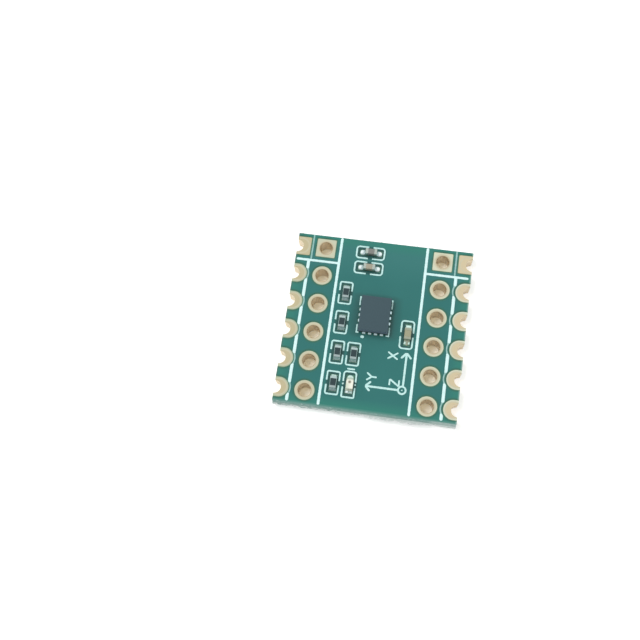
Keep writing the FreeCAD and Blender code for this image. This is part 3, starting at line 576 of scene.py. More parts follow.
# %% Ceramic materials
alumina = grained("fired alumina", "#93B2AF", "#ACCAC6", 0.04, 0.003, Roughness=0.55, IOR=1.7)
glaze = grained("dark overglaze", "#1D3034", "#2B4347", 0.06, 0.003, Roughness=0.45, IOR=1.5)
ceramic_of = {
    1: grained("fired ceramic, brown-grey", "#6E706A", "#848681", 0.07, 0.003, Roughness=0.5, IOR=1.8),
    2: grained("fired ceramic, tan", "#958F7B", "#ABA792", 0.07, 0.003, Roughness=0.5, IOR=1.8),
    3: grained("fired ceramic, olive", "#8F8E70", "#A8A788", 0.07, 0.003, Roughness=0.5, IOR=1.8),
}
package_base = grained("package laminate, dark", "#22302C", "#34443E", 0.08, 0.003, Roughness=0.6, IOR=1.5)
silicon = grained("ground silicon", "#7B7E84", "#92959B", 0.1, 0.001, Metallic=0.6, Roughness=0.35)

# %% [markdown]
# The sensor's black moulding compound is glass powder in resin: grey rather than black in bright
# light, and very finely speckled. Its sides are sawn and come out paler than its moulded top. A test
# on the way the surface faces tells the two apart.

# %% Sensor moulding
moulding, tree, shader, mm = new_material("black moulding compound", Roughness=0.55, IOR=1.5)
grain = add(tree, "TexNoise", {"Vector": mm, "Scale": 1 / 0.035, "Detail": 5.0, "Roughness": 0.7})
up = add(tree, "SeparateXYZ", [add(tree, "TexCoord", output="Normal")], "Z")
tint = layered(tree, "#30464E", ("#435A62", grain), ("#647384", up, 0.7, 0.3))
wire(tree, shader, tint, add(tree, "Bump", {"Height": grain, "Distance": 0.004 * MM, "Strength": 0.7}))

# %% [markdown]
# ## Lamp
#
# The lamp is a white base with a metal end on each side, under a block of milky resin. The crystal
# shows through the resin as a soft brown spot, and the metal end at the back gives the resin near it a
# tint of mint green. Near the front end the resin is painted grey, a painted shade of its front wall.
# Towards its right side it is painted whiter, a painted light that cancels the shade where its
# shoulder turns away. On the left of the crystal the resin is clearer and greener too. Spot and tints
# are distances again, measured in the board's plane.

# %% Lamp materials
SPOT_FORWARD = 0.045
lamp_white = grained("white base laminate", "#BFC9BB", "#D3DBCD", 0.08, 0.003, Roughness=0.55, IOR=1.5)
crystal = grained("lamp crystal", "#6E4B36", "#8F6A4C", 0.05, 0.001, Roughness=0.3, IOR=2.4)
electrode = grained("gilt silver under resin", "#AFC5B5", "#C6DACB", 0.06, 0.003, Roughness=0.3, IOR=1.5)
grey_end = grained("silver under thin resin", "#BBC0B0", "#CFD3C2", 0.06, 0.003, Roughness=0.35, IOR=1.5)
die_low, die_high = box_mm("lamp_die")
lens_low, lens_high = box_mm("lamp_lens")
die_x, die_y = ((die_low + die_high) / 2)[:2].tolist()
lens_x = float(lens_low[0] + lens_high[0]) / 2
lamp_resin, tree, shader, mm = new_material("milky lamp resin", Roughness=0.28, IOR=1.5)
x, y, z = add(tree, "SeparateXYZ", [mm]).node.outputs
spot_place = (die_x, die_y - SPOT_FORWARD, float(lens_high[2]))
offset = add(tree, "VectorMath", [mm, spot_place], operation="SUBTRACT")
away = add(tree, "VectorMath", [offset], operation="LENGTH")
spot = add(tree, "MapRange", [away, 0.04, 0.19, 0.95, 0.0], interpolation_type="SMOOTHSTEP")
left_side = add(tree, "MapRange", [x, lens_x + 0.04, lens_x - 0.16, 0.0, 0.8])
past_die = add(tree, "MapRange", [y, die_y - 0.10, die_y - 0.26])
clouds = add(tree, "TexNoise", {"Vector": mm, "Scale": 1 / 0.15, "Detail": 3.0})
tint = layered(
    tree,
    "#EBEDDA",
    ("#F8F9EC", clouds),
    # Painted light: the right side of the resin is painted whiter.
    ("#F9F9EA", x, lens_x + 0.06, lens_x + 0.16),
    ("#D2E0CA", add(tree, "Math", [left_side, past_die], operation="MULTIPLY")),
    ("#B8C9B5", y, lens_high[1] - 0.12, lens_high[1] - 0.02, 0.0, 0.95),
    # Painted shade: the resin is painted grey near its front wall.
    ("#C0C6B4", y, lens_low[1] + 0.13, lens_low[1] + 0.02, 0.0, 0.9),
    ("#7E7767", spot),
)
wire(tree, shader, tint)
print("lamp spot at", round(die_x, 3), round(die_y - SPOT_FORWARD, 3), "mm")

# %% [markdown]
# ## Finishes for the CAD pieces
#
# Some CAD pieces are already the right shape: the board's core, the two coats, the copper pads below
# the solder, and the parts hidden inside the packages. They keep their meshes, and only their
# materials change.

# %% Dress the CAD pieces
finish_of_slot = {
    "laminate": laminate,
    "green_coat": coat,
    "pale_ink": ink,
    "gold_plating": gold,
    "solder": solder,
    "tinned_ends": lit_back_tin,
    "white_ceramic": alumina,
    "black_glaze": glaze,
    "tan_ceramic": ceramic_of[2],
    "lamp_white": lamp_white,
    "lamp_resin": lamp_resin,
    "lamp_crystal": crystal,
    "package_base": package_base,
    "moulding_compound": moulding,
    "silicon": silicon,
}
for part in frame["record"]["subparts"]:
    mesh = nodes[part["node"]].data
    mesh.materials.clear()
    mesh.materials.append(finish_of_slot[part["material_slot"]])

# %% [markdown]
# ## Plated holes
#
# A plated hole is one skin of metal: it lines the drilled wall and spreads into a pad on each face.
# The drill leaves a clean edge, but copper grows a small round lip over it, and that lip is the
# bright line round each hole. The shape is a ring: one closed outline of the skin, cut through from
# the hole's middle, is carried round the hole. Points on the wall keep their radius, and points on
# the pad move out to the pad's own outline, so the same function makes round and square pads.

# %% A skin of plating round a hole
HOLE_RADIUS = 0.55
PLATING = 0.03
LIP = 0.045
PAD_LIP = 0.02
PAD_TRIM = 0.01
SQUARENESS = 24
TURN_STEP = 3.75


def skin_outline():
    """The plating's closed outline, as three numbers for each point.

    They are its share of the way from wall to pad edge, an offset from there, and its height.
    """
    quarter = np.radians(np.linspace(0, 90, 6))
    wall_z = np.linspace(PAD_BOTTOM + LIP, PAD_TOP - LIP, 7)
    top_flat = np.linspace(0, 1, 5)[1:-1]
    share = [0 * wall_z, 0 * quarter[1:], top_flat, 1 + 0 * quarter, [1, 0]]
    offset = [
        0 * wall_z,
        LIP * (1 - np.cos(quarter[1:])),
        LIP * (1 - top_flat) - PAD_LIP * top_flat,
        -PAD_LIP * (1 - np.sin(quarter)),
        [0, PLATING],
    ]
    height = [
        wall_z,
        PAD_TOP - LIP * (1 - np.sin(quarter[1:])),
        PAD_TOP + 0 * top_flat,
        PAD_TOP - PAD_LIP * (1 - np.cos(quarter)),
        [CORE_TOP, CORE_TOP],
    ]
    upper = [np.concatenate(part).astype(float) for part in (share, offset, height)]
    middle = (PAD_TOP + PAD_BOTTOM) / 2
    flip = np.s_[:6:-1]
    lower = [upper[0][flip], upper[1][flip], 2 * middle - upper[2][flip]]
    return [np.concatenate(pair) for pair in zip(upper, lower)]


def plated_skin(middle, pad_reach, angles, whole):
    """The skin carried round a hole.

    At each angle, radius = (1 - share) * hole radius + share * pad reach + offset.
    """
    share, offset, height = skin_outline()
    radius = (1 - share) * HOLE_RADIUS + share * pad_reach[:, None] + offset
    x = middle[0] + radius * np.cos(angles)[:, None]
    y = middle[1] + radius * np.sin(angles)[:, None]
    points = np.stack([x, y, np.broadcast_to(height, x.shape)], axis=-1).reshape(-1, 3)
    rows, columns = x.shape
    quads = grid_quads(rows, columns, whole, True)
    last = (rows - 1) * columns
    caps = [] if whole else [np.arange(columns), last + np.arange(columns)[::-1]]
    return points, quads, caps


def square_reach(across, along, half_across, half_along):
    """How far a nearly square outline lies from its middle, for a direction with these two parts.

    reach = ((across / half across) ** n + (along / half along) ** n) ** (-1 / n), with a high power n.
    """
    shares = (abs(across) / half_across) ** SQUARENESS + (abs(along) / half_along) ** SQUARENESS
    return shares ** (-1 / SQUARENESS)


hole_angles = np.radians(np.arange(0, 360, TURN_STEP))
for row_side in ("left", "right"):
    for number in range(1, 7):
        name = f"plated_hole_{row_side}_{number}"
        low, high = box_mm(name)
        half = (high[0] - low[0]) / 2 - PAD_TRIM
        if number == 1:
            reach = square_reach(np.cos(hole_angles), np.sin(hole_angles), half, half)
        else:
            reach = np.full(len(hole_angles), half)
        ring = plated_skin((low + high) / 2, reach, hole_angles, True)
        make_piece(name + "_skin", [ring], gold, [name])
print("plated holes done,", len(hole_angles), "steps round each")

# %% [markdown]
# ## Edge contacts
#
# An edge contact is a plated hole that the router cut in half. Its pad is a round pad whose middle
# lies a little inside the board, joined to the edge by straight sides. Seen from the hole's middle,
# that outline is a distance for each angle: where the ray meets the straight side, it is the side's
# distance over the sine, and elsewhere it solves the circle's equation. The skin is carried round
# the inner half turn only, and its two cut ends are closed.

# %% Half holes along the sides
CORNER_TRIM = 0.04
contact_angles = np.radians(np.arange(90, 270.1, TURN_STEP))
inward = -np.cos(contact_angles)
sideways = np.maximum(abs(np.sin(contact_angles)), 1e-9)
for row_side, facing_side in (("left", -1), ("right", 1)):
    for number in range(1, 7):
        name = f"edge_contact_{row_side}_{number}"
        low, high = box_mm(name)
        half = (high[1] - low[1]) / 2 - PAD_TRIM
        if number == 1:
            reach = square_reach(inward, sideways, high[0] - low[0] - CORNER_TRIM, half)
        else:
            straight = half / sideways
            bow = np.sqrt(np.maximum((PAD_INSET * inward) ** 2 - PAD_INSET**2 + half**2, 0))
            reach = np.where(straight * inward <= PAD_INSET, straight, PAD_INSET * inward + bow)
        points, quads, caps = plated_skin((0.0, (low[1] + high[1]) / 2), reach, contact_angles, False)
        points[:, 0] = facing_side * (EDGE_X + points[:, 0])
        make_piece(name + "_skin", [(points, quads, caps)], gold, [name])
print("edge contacts done")

# %% [markdown]
# ## Printed lines
#
# A printed line is a low ribbon of ink with round shoulders. It is made by carrying one flat outline
# along a path: across the line the height follows (1 - t**6) ** 0.5, which is flat in the middle and
# drops at the edges. Towards an end the ribbon narrows as a half circle. Real ink creeps a little, so
# the width also wanders by a few thousandths of a millimetre, and ribbons that cross lie at slightly
# different heights. White ribbons and thin ones are kept in two lists.

# %% Ink ribbons
INK_THICKNESS = 0.02
INK_BEDDING = 0.004
PRINT_SHIFT = -0.05
STAGGER = 0.0002
CREEP = 0.004
across_line = np.sin(np.linspace(-math.pi / 2, math.pi / 2, 9))
round_end = 1 - np.cos(np.radians(np.linspace(8, 90, 7)))
ink_shapes = []
thin_shapes = []


def ink_band(path, half_widths, layer):
    """A ribbon along a path, with a flat underside.

    For t from -1 to 1, sideways = t * half width and height = thickness * (1 - t**6) ** 0.5.
    """
    heading = np.gradient(path, axis=0)
    heading /= np.maximum(np.linalg.norm(heading, axis=1, keepdims=True), 1e-12)
    sideways = np.stack([-heading[:, 1], heading[:, 0]], axis=1)
    lift = INK_THICKNESS * (1 - across_line**6) ** 0.5
    level = COAT_TOP - INK_BEDDING + STAGGER * (len(layer) % 7)
    loop_t = np.concatenate([across_line, [0.0]])
    loop_z = np.concatenate([level + INK_BEDDING * (lift > 0) + lift, [level]])
    plane = path[:, None, :] + sideways[:, None, :] * (half_widths[:, None] * loop_t)[:, :, None]
    height = np.broadcast_to(loop_z, plane.shape[:2])[:, :, None]
    points = np.concatenate([plane, height], axis=2).reshape(-1, 3)
    rows, columns = len(path), len(loop_t)
    last = (rows - 1) * columns
    caps = [np.arange(columns), last + np.arange(columns)[::-1]]
    layer.append((points, grid_quads(rows, columns, False, True), caps))


def ink_line(corners, width, end_radius=None, step=0.06, layer=ink_shapes):
    """A line through corner points, narrowing at each end as a circle of the given radius."""
    corners = np.array(corners, float)
    radius = min(width / 2, width / 2 if end_radius is None else end_radius)
    run = np.concatenate([[0], np.cumsum(np.linalg.norm(np.diff(corners, axis=0), axis=1))])
    turn = radius * round_end
    middle = np.linspace(radius, run[-1] - radius, max(int((run[-1] - 2 * radius) / step), 2))
    s = np.concatenate([turn[:-1], middle, run[-1] - turn[-2::-1]])
    path = np.stack([np.interp(s, run, corners[:, k]) for k in (0, 1)], axis=1)
    to_end = np.minimum(np.minimum(s, run[-1] - s), radius)
    creep = CREEP * (np.sin(9.1 * s + len(layer)) + np.sin(23.0 * s + 2 * len(layer)))
    half = width / 2 - radius + np.sqrt(np.maximum(radius**2 - (radius - to_end) ** 2, 0))
    ink_band(path, half + creep * (to_end >= radius), layer)


def arc_points(middle, radius, start, stop, count=10):
    """Points on an arc, from one angle to another, in degrees."""
    angle = np.radians(np.linspace(start, stop, count))
    return np.stack([middle[0] + radius * np.cos(angle), middle[1] + radius * np.sin(angle)], axis=1)


# %% [markdown]
# Long lines run beside the pin rows on both sides. The outer one would cross the edge contacts' pads,
# so it gives way to each: its edge follows a circle round the pad, and only a thin arc of ink is left
# there. That is a band whose left and right edges are both functions of the place along the board.
# It is cut where the ink grows thin, and the cut parts share their end points. The lines on the left
# start a little nearer to the front edge, so the last half millimetre is stretched.

# %% Lines beside the pins
INNER_LINE_X = 3.74
INNER_LINE_WIDTH = 0.235
OUTER_LINE_X = 6.375
OUTER_LINE_WIDTH = 0.27
CROSS_LINE_Y = 5.10
CROSS_LINE_WIDTH = 0.214
LINE_START_Y = -7.345
EXTRA_START = {-1: 0.085, 1: 0.02}
STRETCH_OVER = 0.5
STRAIGHT_START_Y = -7.18
LINE_STEP = 0.04
LINE_STOP_Y = FLAT_END_Y - 0.02
CROSS_END_X = 7.45
BESIDE_LINE_X = 6.225
BESIDE_SHIFT = -0.025
BESIDE_START_Y = CROSS_LINE_Y + 0.11
BESIDE_LINE_WIDTH = 0.14
KEEP_CLEAR = 0.96
ARC_WIDTH = 0.12
THIN_REACH = 0.46
end_width = OUTER_LINE_WIDTH / 2
first_bend = LINE_START_Y + end_width * round_end
s = np.concatenate([first_bend, np.arange(STRAIGHT_START_Y, CROSS_LINE_Y, LINE_STEP)])
pad_middle = EDGE_X - PAD_INSET
edge_left = OUTER_LINE_X - end_width + 0 * s
edge_right = OUTER_LINE_X + end_width + 0 * s
thin_here = np.zeros(len(s), bool)
for number in range(2, 7):
    low, high = box_mm(f"edge_contact_right_{number}")
    off = abs(s - (low[1] + high[1]) / 2)
    inner_arc = pad_middle - np.sqrt(np.maximum(KEEP_CLEAR**2 - off**2, 0))
    outer_arc = pad_middle - np.sqrt(np.maximum((KEEP_CLEAR + ARC_WIDTH) ** 2 - off**2, 0))
    edge_right = np.minimum(edge_right, inner_arc)
    edge_left = np.minimum(edge_left, outer_arc)
    thin_here |= off < THIN_REACH
narrow = 1 - np.minimum((s - LINE_START_Y) / end_width, 1)
half_width = (edge_right - edge_left) / 2 * np.sqrt(1 - narrow**2)
runs = np.split(np.arange(len(s)), np.flatnonzero(np.diff(thin_here)) + 1)
for mirror in (-1, 1):
    start_y = LINE_START_Y - EXTRA_START[mirror]
    pulled = np.clip((LINE_START_Y + STRETCH_OVER - s) / STRETCH_OVER, 0, 1)
    stretched = s + (start_y - LINE_START_Y) * pulled
    centre = np.stack([mirror * (edge_left + edge_right) / 2 + PRINT_SHIFT, stretched], axis=1)
    for run in runs:
        shared = np.arange(run[0], min(run[-1] + 2, len(s)))
        ink_band(centre[shared], half_width[shared], thin_shapes if thin_here[run[0]] else ink_shapes)
    inner_x = mirror * INNER_LINE_X + PRINT_SHIFT
    cross_end = mirror * CROSS_END_X + PRINT_SHIFT
    beside_x = mirror * BESIDE_LINE_X + BESIDE_SHIFT
    ink_line([(inner_x, start_y), (inner_x, LINE_STOP_Y)], INNER_LINE_WIDTH)
    ink_line([(inner_x, CROSS_LINE_Y), (cross_end, CROSS_LINE_Y)], CROSS_LINE_WIDTH)
    beside = [(beside_x, BESIDE_START_Y), (beside_x, LINE_STOP_Y)]
    ink_line(beside, BESIDE_LINE_WIDTH, layer=thin_shapes)
row_ribbons = len(ink_shapes)
print("row lines:", row_ribbons, "white ribbons and", len(thin_shapes), "thin ones")

# %% [markdown]
# Each chip stands in a printed box that is open in the middle of its long sides, so a box is two
# brackets. A bracket is one path: a straight run, a corner, the short end, a corner and a run back.
# Each kind of box is given by its length, its width, the radii of its corners and its gap.
# The lamp's box has a dot in each opening and a bar behind it.

# %% Boxes round the chips
BOX_STROKE = 0.145
RESISTOR_BOX = (2.075, 1.19, (0.20, 0.20), 0.36)
CAPACITOR_BOX = (2.55, 1.195, (0.30, 0.30), 0.36)
LAMP_BOX = (2.33, 1.17, (0.30, 0.14), 0.46)
LAMP_BOX_SHIFT = 0.02
LAMP_DOT_X = 0.51
LAMP_DOT_WIDTH = 0.15
LAMP_BAR_Y = 1.30
LAMP_BAR_HALF = 0.33


def bracket(length, width, corner, gap):
    """Half of an outline box about the origin, its end towards +X, as a path along the stroke's middle."""
    end_x = (length - BOX_STROKE) / 2
    side_y = (width - BOX_STROKE) / 2
    bend = corner - BOX_STROKE / 2
    front_bend = arc_points((end_x - bend, bend - side_y), bend, -90, 0)
    back_bend = arc_points((end_x - bend, side_y - bend), bend, 0, 90)
    return np.concatenate([[(gap / 2, -side_y)], front_bend, back_bend, [(gap / 2, side_y)]])


def turned(path, middle, degrees):
    """A path turned about the origin and moved to a middle."""
    angle = math.radians(degrees)
    spin = np.array([[math.cos(angle), math.sin(angle)], [-math.sin(angle), math.cos(angle)]])
    return path @ spin + np.array(middle)


def chip_place(name):
    """The middle of a chip in the board's plane, and its turn: 90 degrees if its ends lie along Y."""
    low, high = box_mm(name)
    size = high - low
    return (low[:2] + high[:2]) / 2, 90 if size[1] > size[0] else 0


def outline_box(place, length, width, corners, gap):
    """Both brackets round a chip; corners are those of its back or right end and of its other end."""
    middle, degrees = place
    for extra, corner in zip((0, 180), corners):
        path = bracket(length, width, corner, gap)
        ink_line(turned(path, middle + (PRINT_SHIFT, 0), degrees + extra), BOX_STROKE, 0.03)


resistor_places = [chip_place(f"resistor_{number}_ends") for number in range(1, 6)]
capacitor_places = [chip_place(f"capacitor_{number}_ends") for number in range(1, 4)]
lamp_place = chip_place("lamp_ends")
for place in resistor_places:
    outline_box(place, *RESISTOR_BOX)
for place in capacitor_places:
    outline_box(place, *CAPACITOR_BOX)
outline_box((lamp_place[0] - (0, LAMP_BOX_SHIFT), 90), *LAMP_BOX)
for mirror in (-1, 1):
    dot = lamp_place[0] + (PRINT_SHIFT + mirror * LAMP_DOT_X, 0)
    dot_end = (0, LAMP_DOT_WIDTH / 2)
    ink_line([dot - dot_end, dot + dot_end], LAMP_DOT_WIDTH, step=0.02)
bar = lamp_place[0] + (PRINT_SHIFT, LAMP_BAR_Y)
ink_line([bar - (LAMP_BAR_HALF, 0), bar + (LAMP_BAR_HALF, 0)], BOX_STROKE)
print("with boxes:", len(ink_shapes), "ribbons")

# %% [markdown]
# The sensor has a mark at each corner and a dot beside its first land. The marks are two short
# strokes that share a corner, and no two marks are quite alike: each has its own side and end, shift
# across and along, and lengths along the board and across it. Beside the sensor the board carries a
# small drawing of the sensor's axes: a ring with a dot for the axis that points at the viewer, and
# two arrows with their letters.

# %% Sensor marks and axis arrows
sensor_low, sensor_high = box_mm("sensor_moulding")
sensor_middle = (sensor_low + sensor_high)[:2] / 2
MARK_STROKE = 0.12
MARK_HALF_X = 1.437
MARK_HALF_Y = 1.63
MARK_SHIFT = -0.028
corner_marks = [
    (-1, -1, 0.02, 0.02, 0.70, 0.25),
    (-1, 1, 0.02, 0.02, 0.75, 0.13),
    (1, -1, 0.0, -0.01, 0.75, 0.29),
    (1, 1, 0.0, -0.01, 0.75, 0.13),
]
half_stroke = MARK_STROKE / 2
for a, b, shift_x, shift_y, along, across in corner_marks:
    x = sensor_middle[0] + shift_x + MARK_SHIFT + a * (MARK_HALF_X - half_stroke)
    y = sensor_middle[1] + shift_y + b * (MARK_HALF_Y - half_stroke)
    ink_line([(x, y - b * along), (x, y + b * half_stroke)], MARK_STROKE, 0.02)
    ink_line([(x - a * (across - half_stroke), y), (x + a * half_stroke, y)], MARK_STROKE, 0.02)
dot = sensor_middle + (PRINT_SHIFT - 0.785, -1.90)
ink_line([dot - (0.15, 0), dot + (0.15, 0)], 0.24, 0.11, 0.03)

ARROW_STROKE = 0.18
LETTER_STROKE = 0.15
ring = (2.90, -5.30)
ink_line(arc_points(ring, 0.315, 0, 360, 40), 0.16, 0.002)
ink_line([(ring[0] - 0.06, ring[1]), (ring[0] + 0.06, ring[1])], 0.12, step=0.02)
axis_strokes = [
    [(2.95, -4.98), (2.95, -2.10)],
    [(2.95, -2.11), (2.52, -2.60)],
    [(2.95, -2.11), (3.38, -2.58)],
    [(2.58, -5.325), (-0.14, -5.325)],
    [(-0.13, -5.325), (0.30, -4.90)],
    [(-0.13, -5.325), (0.27, -5.72)],
]
letter_strokes = [
    [(1.40, -2.18), (2.26, -2.77)],
    [(1.40, -2.77), (2.26, -2.18)],
    [(0.73, -4.50), (0.30, -4.50)],
    [(0.30, -4.50), (-0.12, -4.18)],
    [(0.30, -4.50), (-0.12, -4.82)],
    [(1.815, -4.48), (1.815, -5.02)],
    [(1.815, -4.48), (2.595, -5.02)],
    [(2.595, -4.48), (2.595, -5.02)],
]
for start, stop in axis_strokes:
    ink_line([start, stop], ARROW_STROKE)
for start, stop in letter_strokes:
    ink_line([start, stop], LETTER_STROKE)
make_piece("printed_ink", ink_shapes[:row_ribbons], ink, ["print_lines"], sharp=60)
make_piece("printed_ink_fine", ink_shapes[row_ribbons:], fine_ink, ["print_lines"], sharp=60)
make_piece("printed_ink_thin", thin_shapes, thin_ink, ["print_lines"], sharp=60)
print("all ink:", len(ink_shapes) + len(thin_shapes), "ribbons")

# %% [markdown]
# ## Blocks with round edges
#
# Chips, lamp and package are blocks, but a block with knife edges looks like a toy. A block with
# round edges is a ball whose eight parts are pulled apart: each point of the ball's surface moves out
# to the corner of a smaller block that its direction points at. Where the direction changes corner,
# the grid has the same angle twice, and the face between the two becomes a flat side.


# %% A ball pulled apart into a block
def rounded_block(low, high, radius, steps=3, corners=None):
    """Point = middle + sign(direction) * (half size - radius) + radius * direction.

    corners gives the radii seen from above: back right, back left, front left, front right.
    """
    low = np.array(low, float)
    high = np.array(high, float)
    half = (high - low) / 2
    corner = np.repeat(np.broadcast_to(radius if corners is None else corners, 4), steps + 1)
    tilt = np.radians(np.concatenate([np.linspace(-90, 0, steps + 1), np.linspace(0, 90, steps + 1)]))
    tilt_sign = np.repeat([-1, 1], steps + 1)
    around = np.radians(np.concatenate([np.linspace(90 * q, 90 * q + 90, steps + 1) for q in range(4)]))
    x_sign = np.repeat([1, -1, -1, 1], steps + 1)
    y_sign = np.repeat([1, 1, -1, -1], steps + 1)
    spread = corner + radius * (np.cos(tilt)[:, None] - 1)
    x = x_sign * (half[0] - corner) + spread * np.cos(around)
    y = y_sign * (half[1] - corner) + spread * np.sin(around)
    z = (tilt_sign * (half[2] - radius) + radius * np.sin(tilt))[:, None] + 0 * around
    points = np.stack([x, y, z], axis=-1).reshape(-1, 3) + (low + high) / 2
    rows, columns = x.shape
    rim = np.arange(columns)
    caps = [rim[::-1], (rows - 1) * columns + rim]
    return points, grid_quads(rows, columns, False, True), caps


# %% [markdown]
# Melted solder and fired glaze have no flat faces at all. Both are drawn as a hill over a rectangle:
# the height is a function of the two places on it, zero all round its rim, and a flat cap closes it
# below. Glaze is a low even hill with steep shoulders. Solder climbs the chip's end, sinks in a
# hollow curve towards the pad's outer end, and has a round shoulder on each side.


# %% Hills of glaze and solder
def hill(grid_x, grid_y, height, bottom):
    """A closed hill over a grid: its rim lies at the bottom level, and one cap closes it below."""
    level = bottom + np.array(height, float)
    level[0, :] = level[-1, :] = bottom
    level[:, 0] = level[:, -1] = bottom
    points = np.stack([grid_x, grid_y, level], axis=-1).reshape(-1, 3)
    rows, columns = grid_x.shape
    index = np.arange(rows * columns).reshape(rows, columns)
    rim = np.concatenate([index[0, :-1], index[:-1, -1], index[-1, :0:-1], index[:0:-1, 0]])
    return points, grid_quads(rows, columns), [rim]


def glaze_hill(low, high):
    """A flat top with round shoulders: height = thickness * (1 - u**10) ** 0.5 * (1 - v**10) ** 0.5."""
    u = np.sin(np.linspace(-math.pi / 2, math.pi / 2, 13))
    middle = (low + high) / 2
    half = (high - low) / 2
    shape = np.sqrt(1 - u**10)
    grid_x, grid_y = np.meshgrid(middle[0] + half[0] * u, middle[1] + half[1] * u, indexing="ij")
    return hill(grid_x, grid_y, (high[2] - low[2]) * np.outer(shape, shape), low[2])


def solder_hill(chip_end, reach, half, climb, hollow, bulge, inward, blunt):
    """Solder on a chip's end: height = climb * (1 - out) ** hollow + bulge * 4 * out * (1 - out).

    Its plan is half * (1 - out ** blunt) ** 0.5 wide: a tongue for 2, a rectangle with small corners for 14.
    """
    under_chip = [-inward / reach, -inward / reach / 2, -0.001]
    out = np.concatenate([under_chip, np.sin(np.linspace(0, math.pi / 2, 26))])
    v = np.sin(np.linspace(-math.pi / 2, math.pi / 2, 19))
    free = np.clip(out, 0, 1)
    tip = np.sqrt(1 - free**6)
    height = (climb * (1 - free) ** hollow + bulge * 4 * free * (1 - free) + 0.02) * tip
    shoulder = np.sqrt(1 - abs(v) ** 4)
    grid_x = np.broadcast_to((chip_end + reach * out)[:, None], (len(out), len(v)))
    return hill(grid_x, np.outer(half * np.sqrt(1 - free**blunt), v), np.outer(height, shoulder), PAD_TOP)


def placed(surface, middle, degrees):
    """A surface turned about its own Z axis and moved across the board."""
    points, quads, caps = surface
    return np.column_stack([turned(points[:, :2], middle, degrees), points[:, 2]]), quads, caps


# %% [markdown]
# ## Chip resistors
#
# A chip resistor is a thin slab of alumina. Its dark glaze covers the top between the two metal ends
# and leaves a narrow rim of bare ceramic on each long side. The ends are wraps of tin over both top
# and bottom. The wraps at the back have rounder corners than the front ones. The two are lit and shaded
# copies of one tin: the back wraps are painted paler, a painted highlight, and the front ones darker,
# a painted shade.

# %% Resistors
CORE_INSET = np.array([0.008, 0.008, 0.0])
GLAZE_SPREAD = np.array([0.005, 0.012, 0.004])
WRAP_OVERLAP = 0.01
for number in range(1, 6):
    name = f"resistor_{number}"
    core_low, core_high = box_mm(name + "_core")
    ends_low, ends_high = box_mm(name + "_ends")
    glaze_low, glaze_high = box_mm(name + "_glaze")
    core = rounded_block(core_low + CORE_INSET, core_high - CORE_INSET, 0.012)
    make_piece(name + "_alumina", [core], alumina, [name + "_core"])
    glazing = glaze_hill(glaze_low - GLAZE_SPREAD, glaze_high + GLAZE_SPREAD)
    make_piece(name + "_glazing", [glazing], glaze, [name + "_glaze"])
    back_low = (ends_low[0], glaze_high[1] - WRAP_OVERLAP, ends_low[2])
    front_high = (ends_high[0], glaze_low[1] + WRAP_OVERLAP, ends_high[2])
    back_wrap = rounded_block(back_low, ends_high, 0.022, 4, (0.07, 0.07, 0.03, 0.03))
    front_wrap = rounded_block(ends_low, front_high, 0.022, 4, 0.03)
    make_piece(name + "_back_wrap", [back_wrap], lit_back_tin, [name + "_ends"])
    make_piece(name + "_front_wrap", [front_wrap], shaded_front_tin, [name + "_ends"])
print("resistors done")

# %% [markdown]
# ## Chip capacitors
#
# A chip capacitor is a brick of many fired layers with a metal cup over each end. The cups are fired
# on as paste, so their edges are soft all round. The third one has gone olive with age, and it is a
# little wider than the others.

# %% Capacitors
CAP_CUP = 0.24
CUP_EDGE = 0.045
SWELL = 0.045
for number in range(1, 4):
    name = f"capacitor_{number}"
    core_low, core_high = box_mm(name + "_core")
    ends_low, ends_high = box_mm(name + "_ends")
    if number == 3:
        for low, high in ((core_low, core_high), (ends_low, ends_high)):
            low[0] -= SWELL
            high[0] += SWELL
    core = rounded_block(core_low, core_high, 0.03)
    make_piece(name + "_ceramic", [core], ceramic_of[number], [name + "_core"])
    axis = int(np.argmax(ends_high - ends_low))
    first_high = ends_high.copy()
    first_high[axis] = ends_low[axis] + CAP_CUP
    second_low = ends_low.copy()
    second_low[axis] = ends_high[axis] - CAP_CUP
    cups = [rounded_block(*cup, CUP_EDGE, 4) for cup in ((ends_low, first_high), (second_low, ends_high))]
    make_piece(name + "_cups", cups, olive_tin if number == 3 else cup_tin, [name + "_ends"])
print("capacitors done")

# %% [markdown]
# ## Indicator lamp
#
# The lamp's resin block narrows a little towards its top, as it has to leave its mould, and it stands
# a little to the right on its base. The metal end at the back is a round arch that shows beyond the
# resin, and the one at the front is a low grey step.

# %% Lamp
LENS_TAPER = 0.03
LENS_SHIFT = 0.02
lens = rounded_block(lens_low, lens_high, 0.06, 6, (0.20, 0.20, 0.09, 0.09))
lens_points = lens[0]
lens_middle = (lens_low + lens_high)[:2] / 2
rise = (lens_points[:, 2] - lens_low[2]) / (lens_high[2] - lens_low[2])
narrowed = (1 - LENS_TAPER * rise)[:, None]
lens_points[:, :2] = lens_middle + (lens_points[:, :2] - lens_middle) * narrowed
lens_points[:, 0] += LENS_SHIFT
make_piece("lamp_dome", [lens], lamp_resin, ["lamp_lens"])
ends_low, ends_high = box_mm("lamp_ends")
proud = np.array([0.002, 0.0, 0.003])
back_low = (ends_low[0], lens_high[1] - 0.14, ends_low[2])
front_high = (ends_high[0], lens_low[1] + 0.04, ends_high[2])
back_end = rounded_block(back_low - proud, ends_high + proud, 0.02, 6, (0.29, 0.29, 0.02, 0.02))
front_end = rounded_block(ends_low - proud, front_high + proud, 0.02, 4, 0.04)
make_piece("lamp_back_end", [back_end], electrode, ["lamp_ends"])
make_piece("lamp_front_end", [front_end], grey_end, ["lamp_ends"])
print("lamp done")

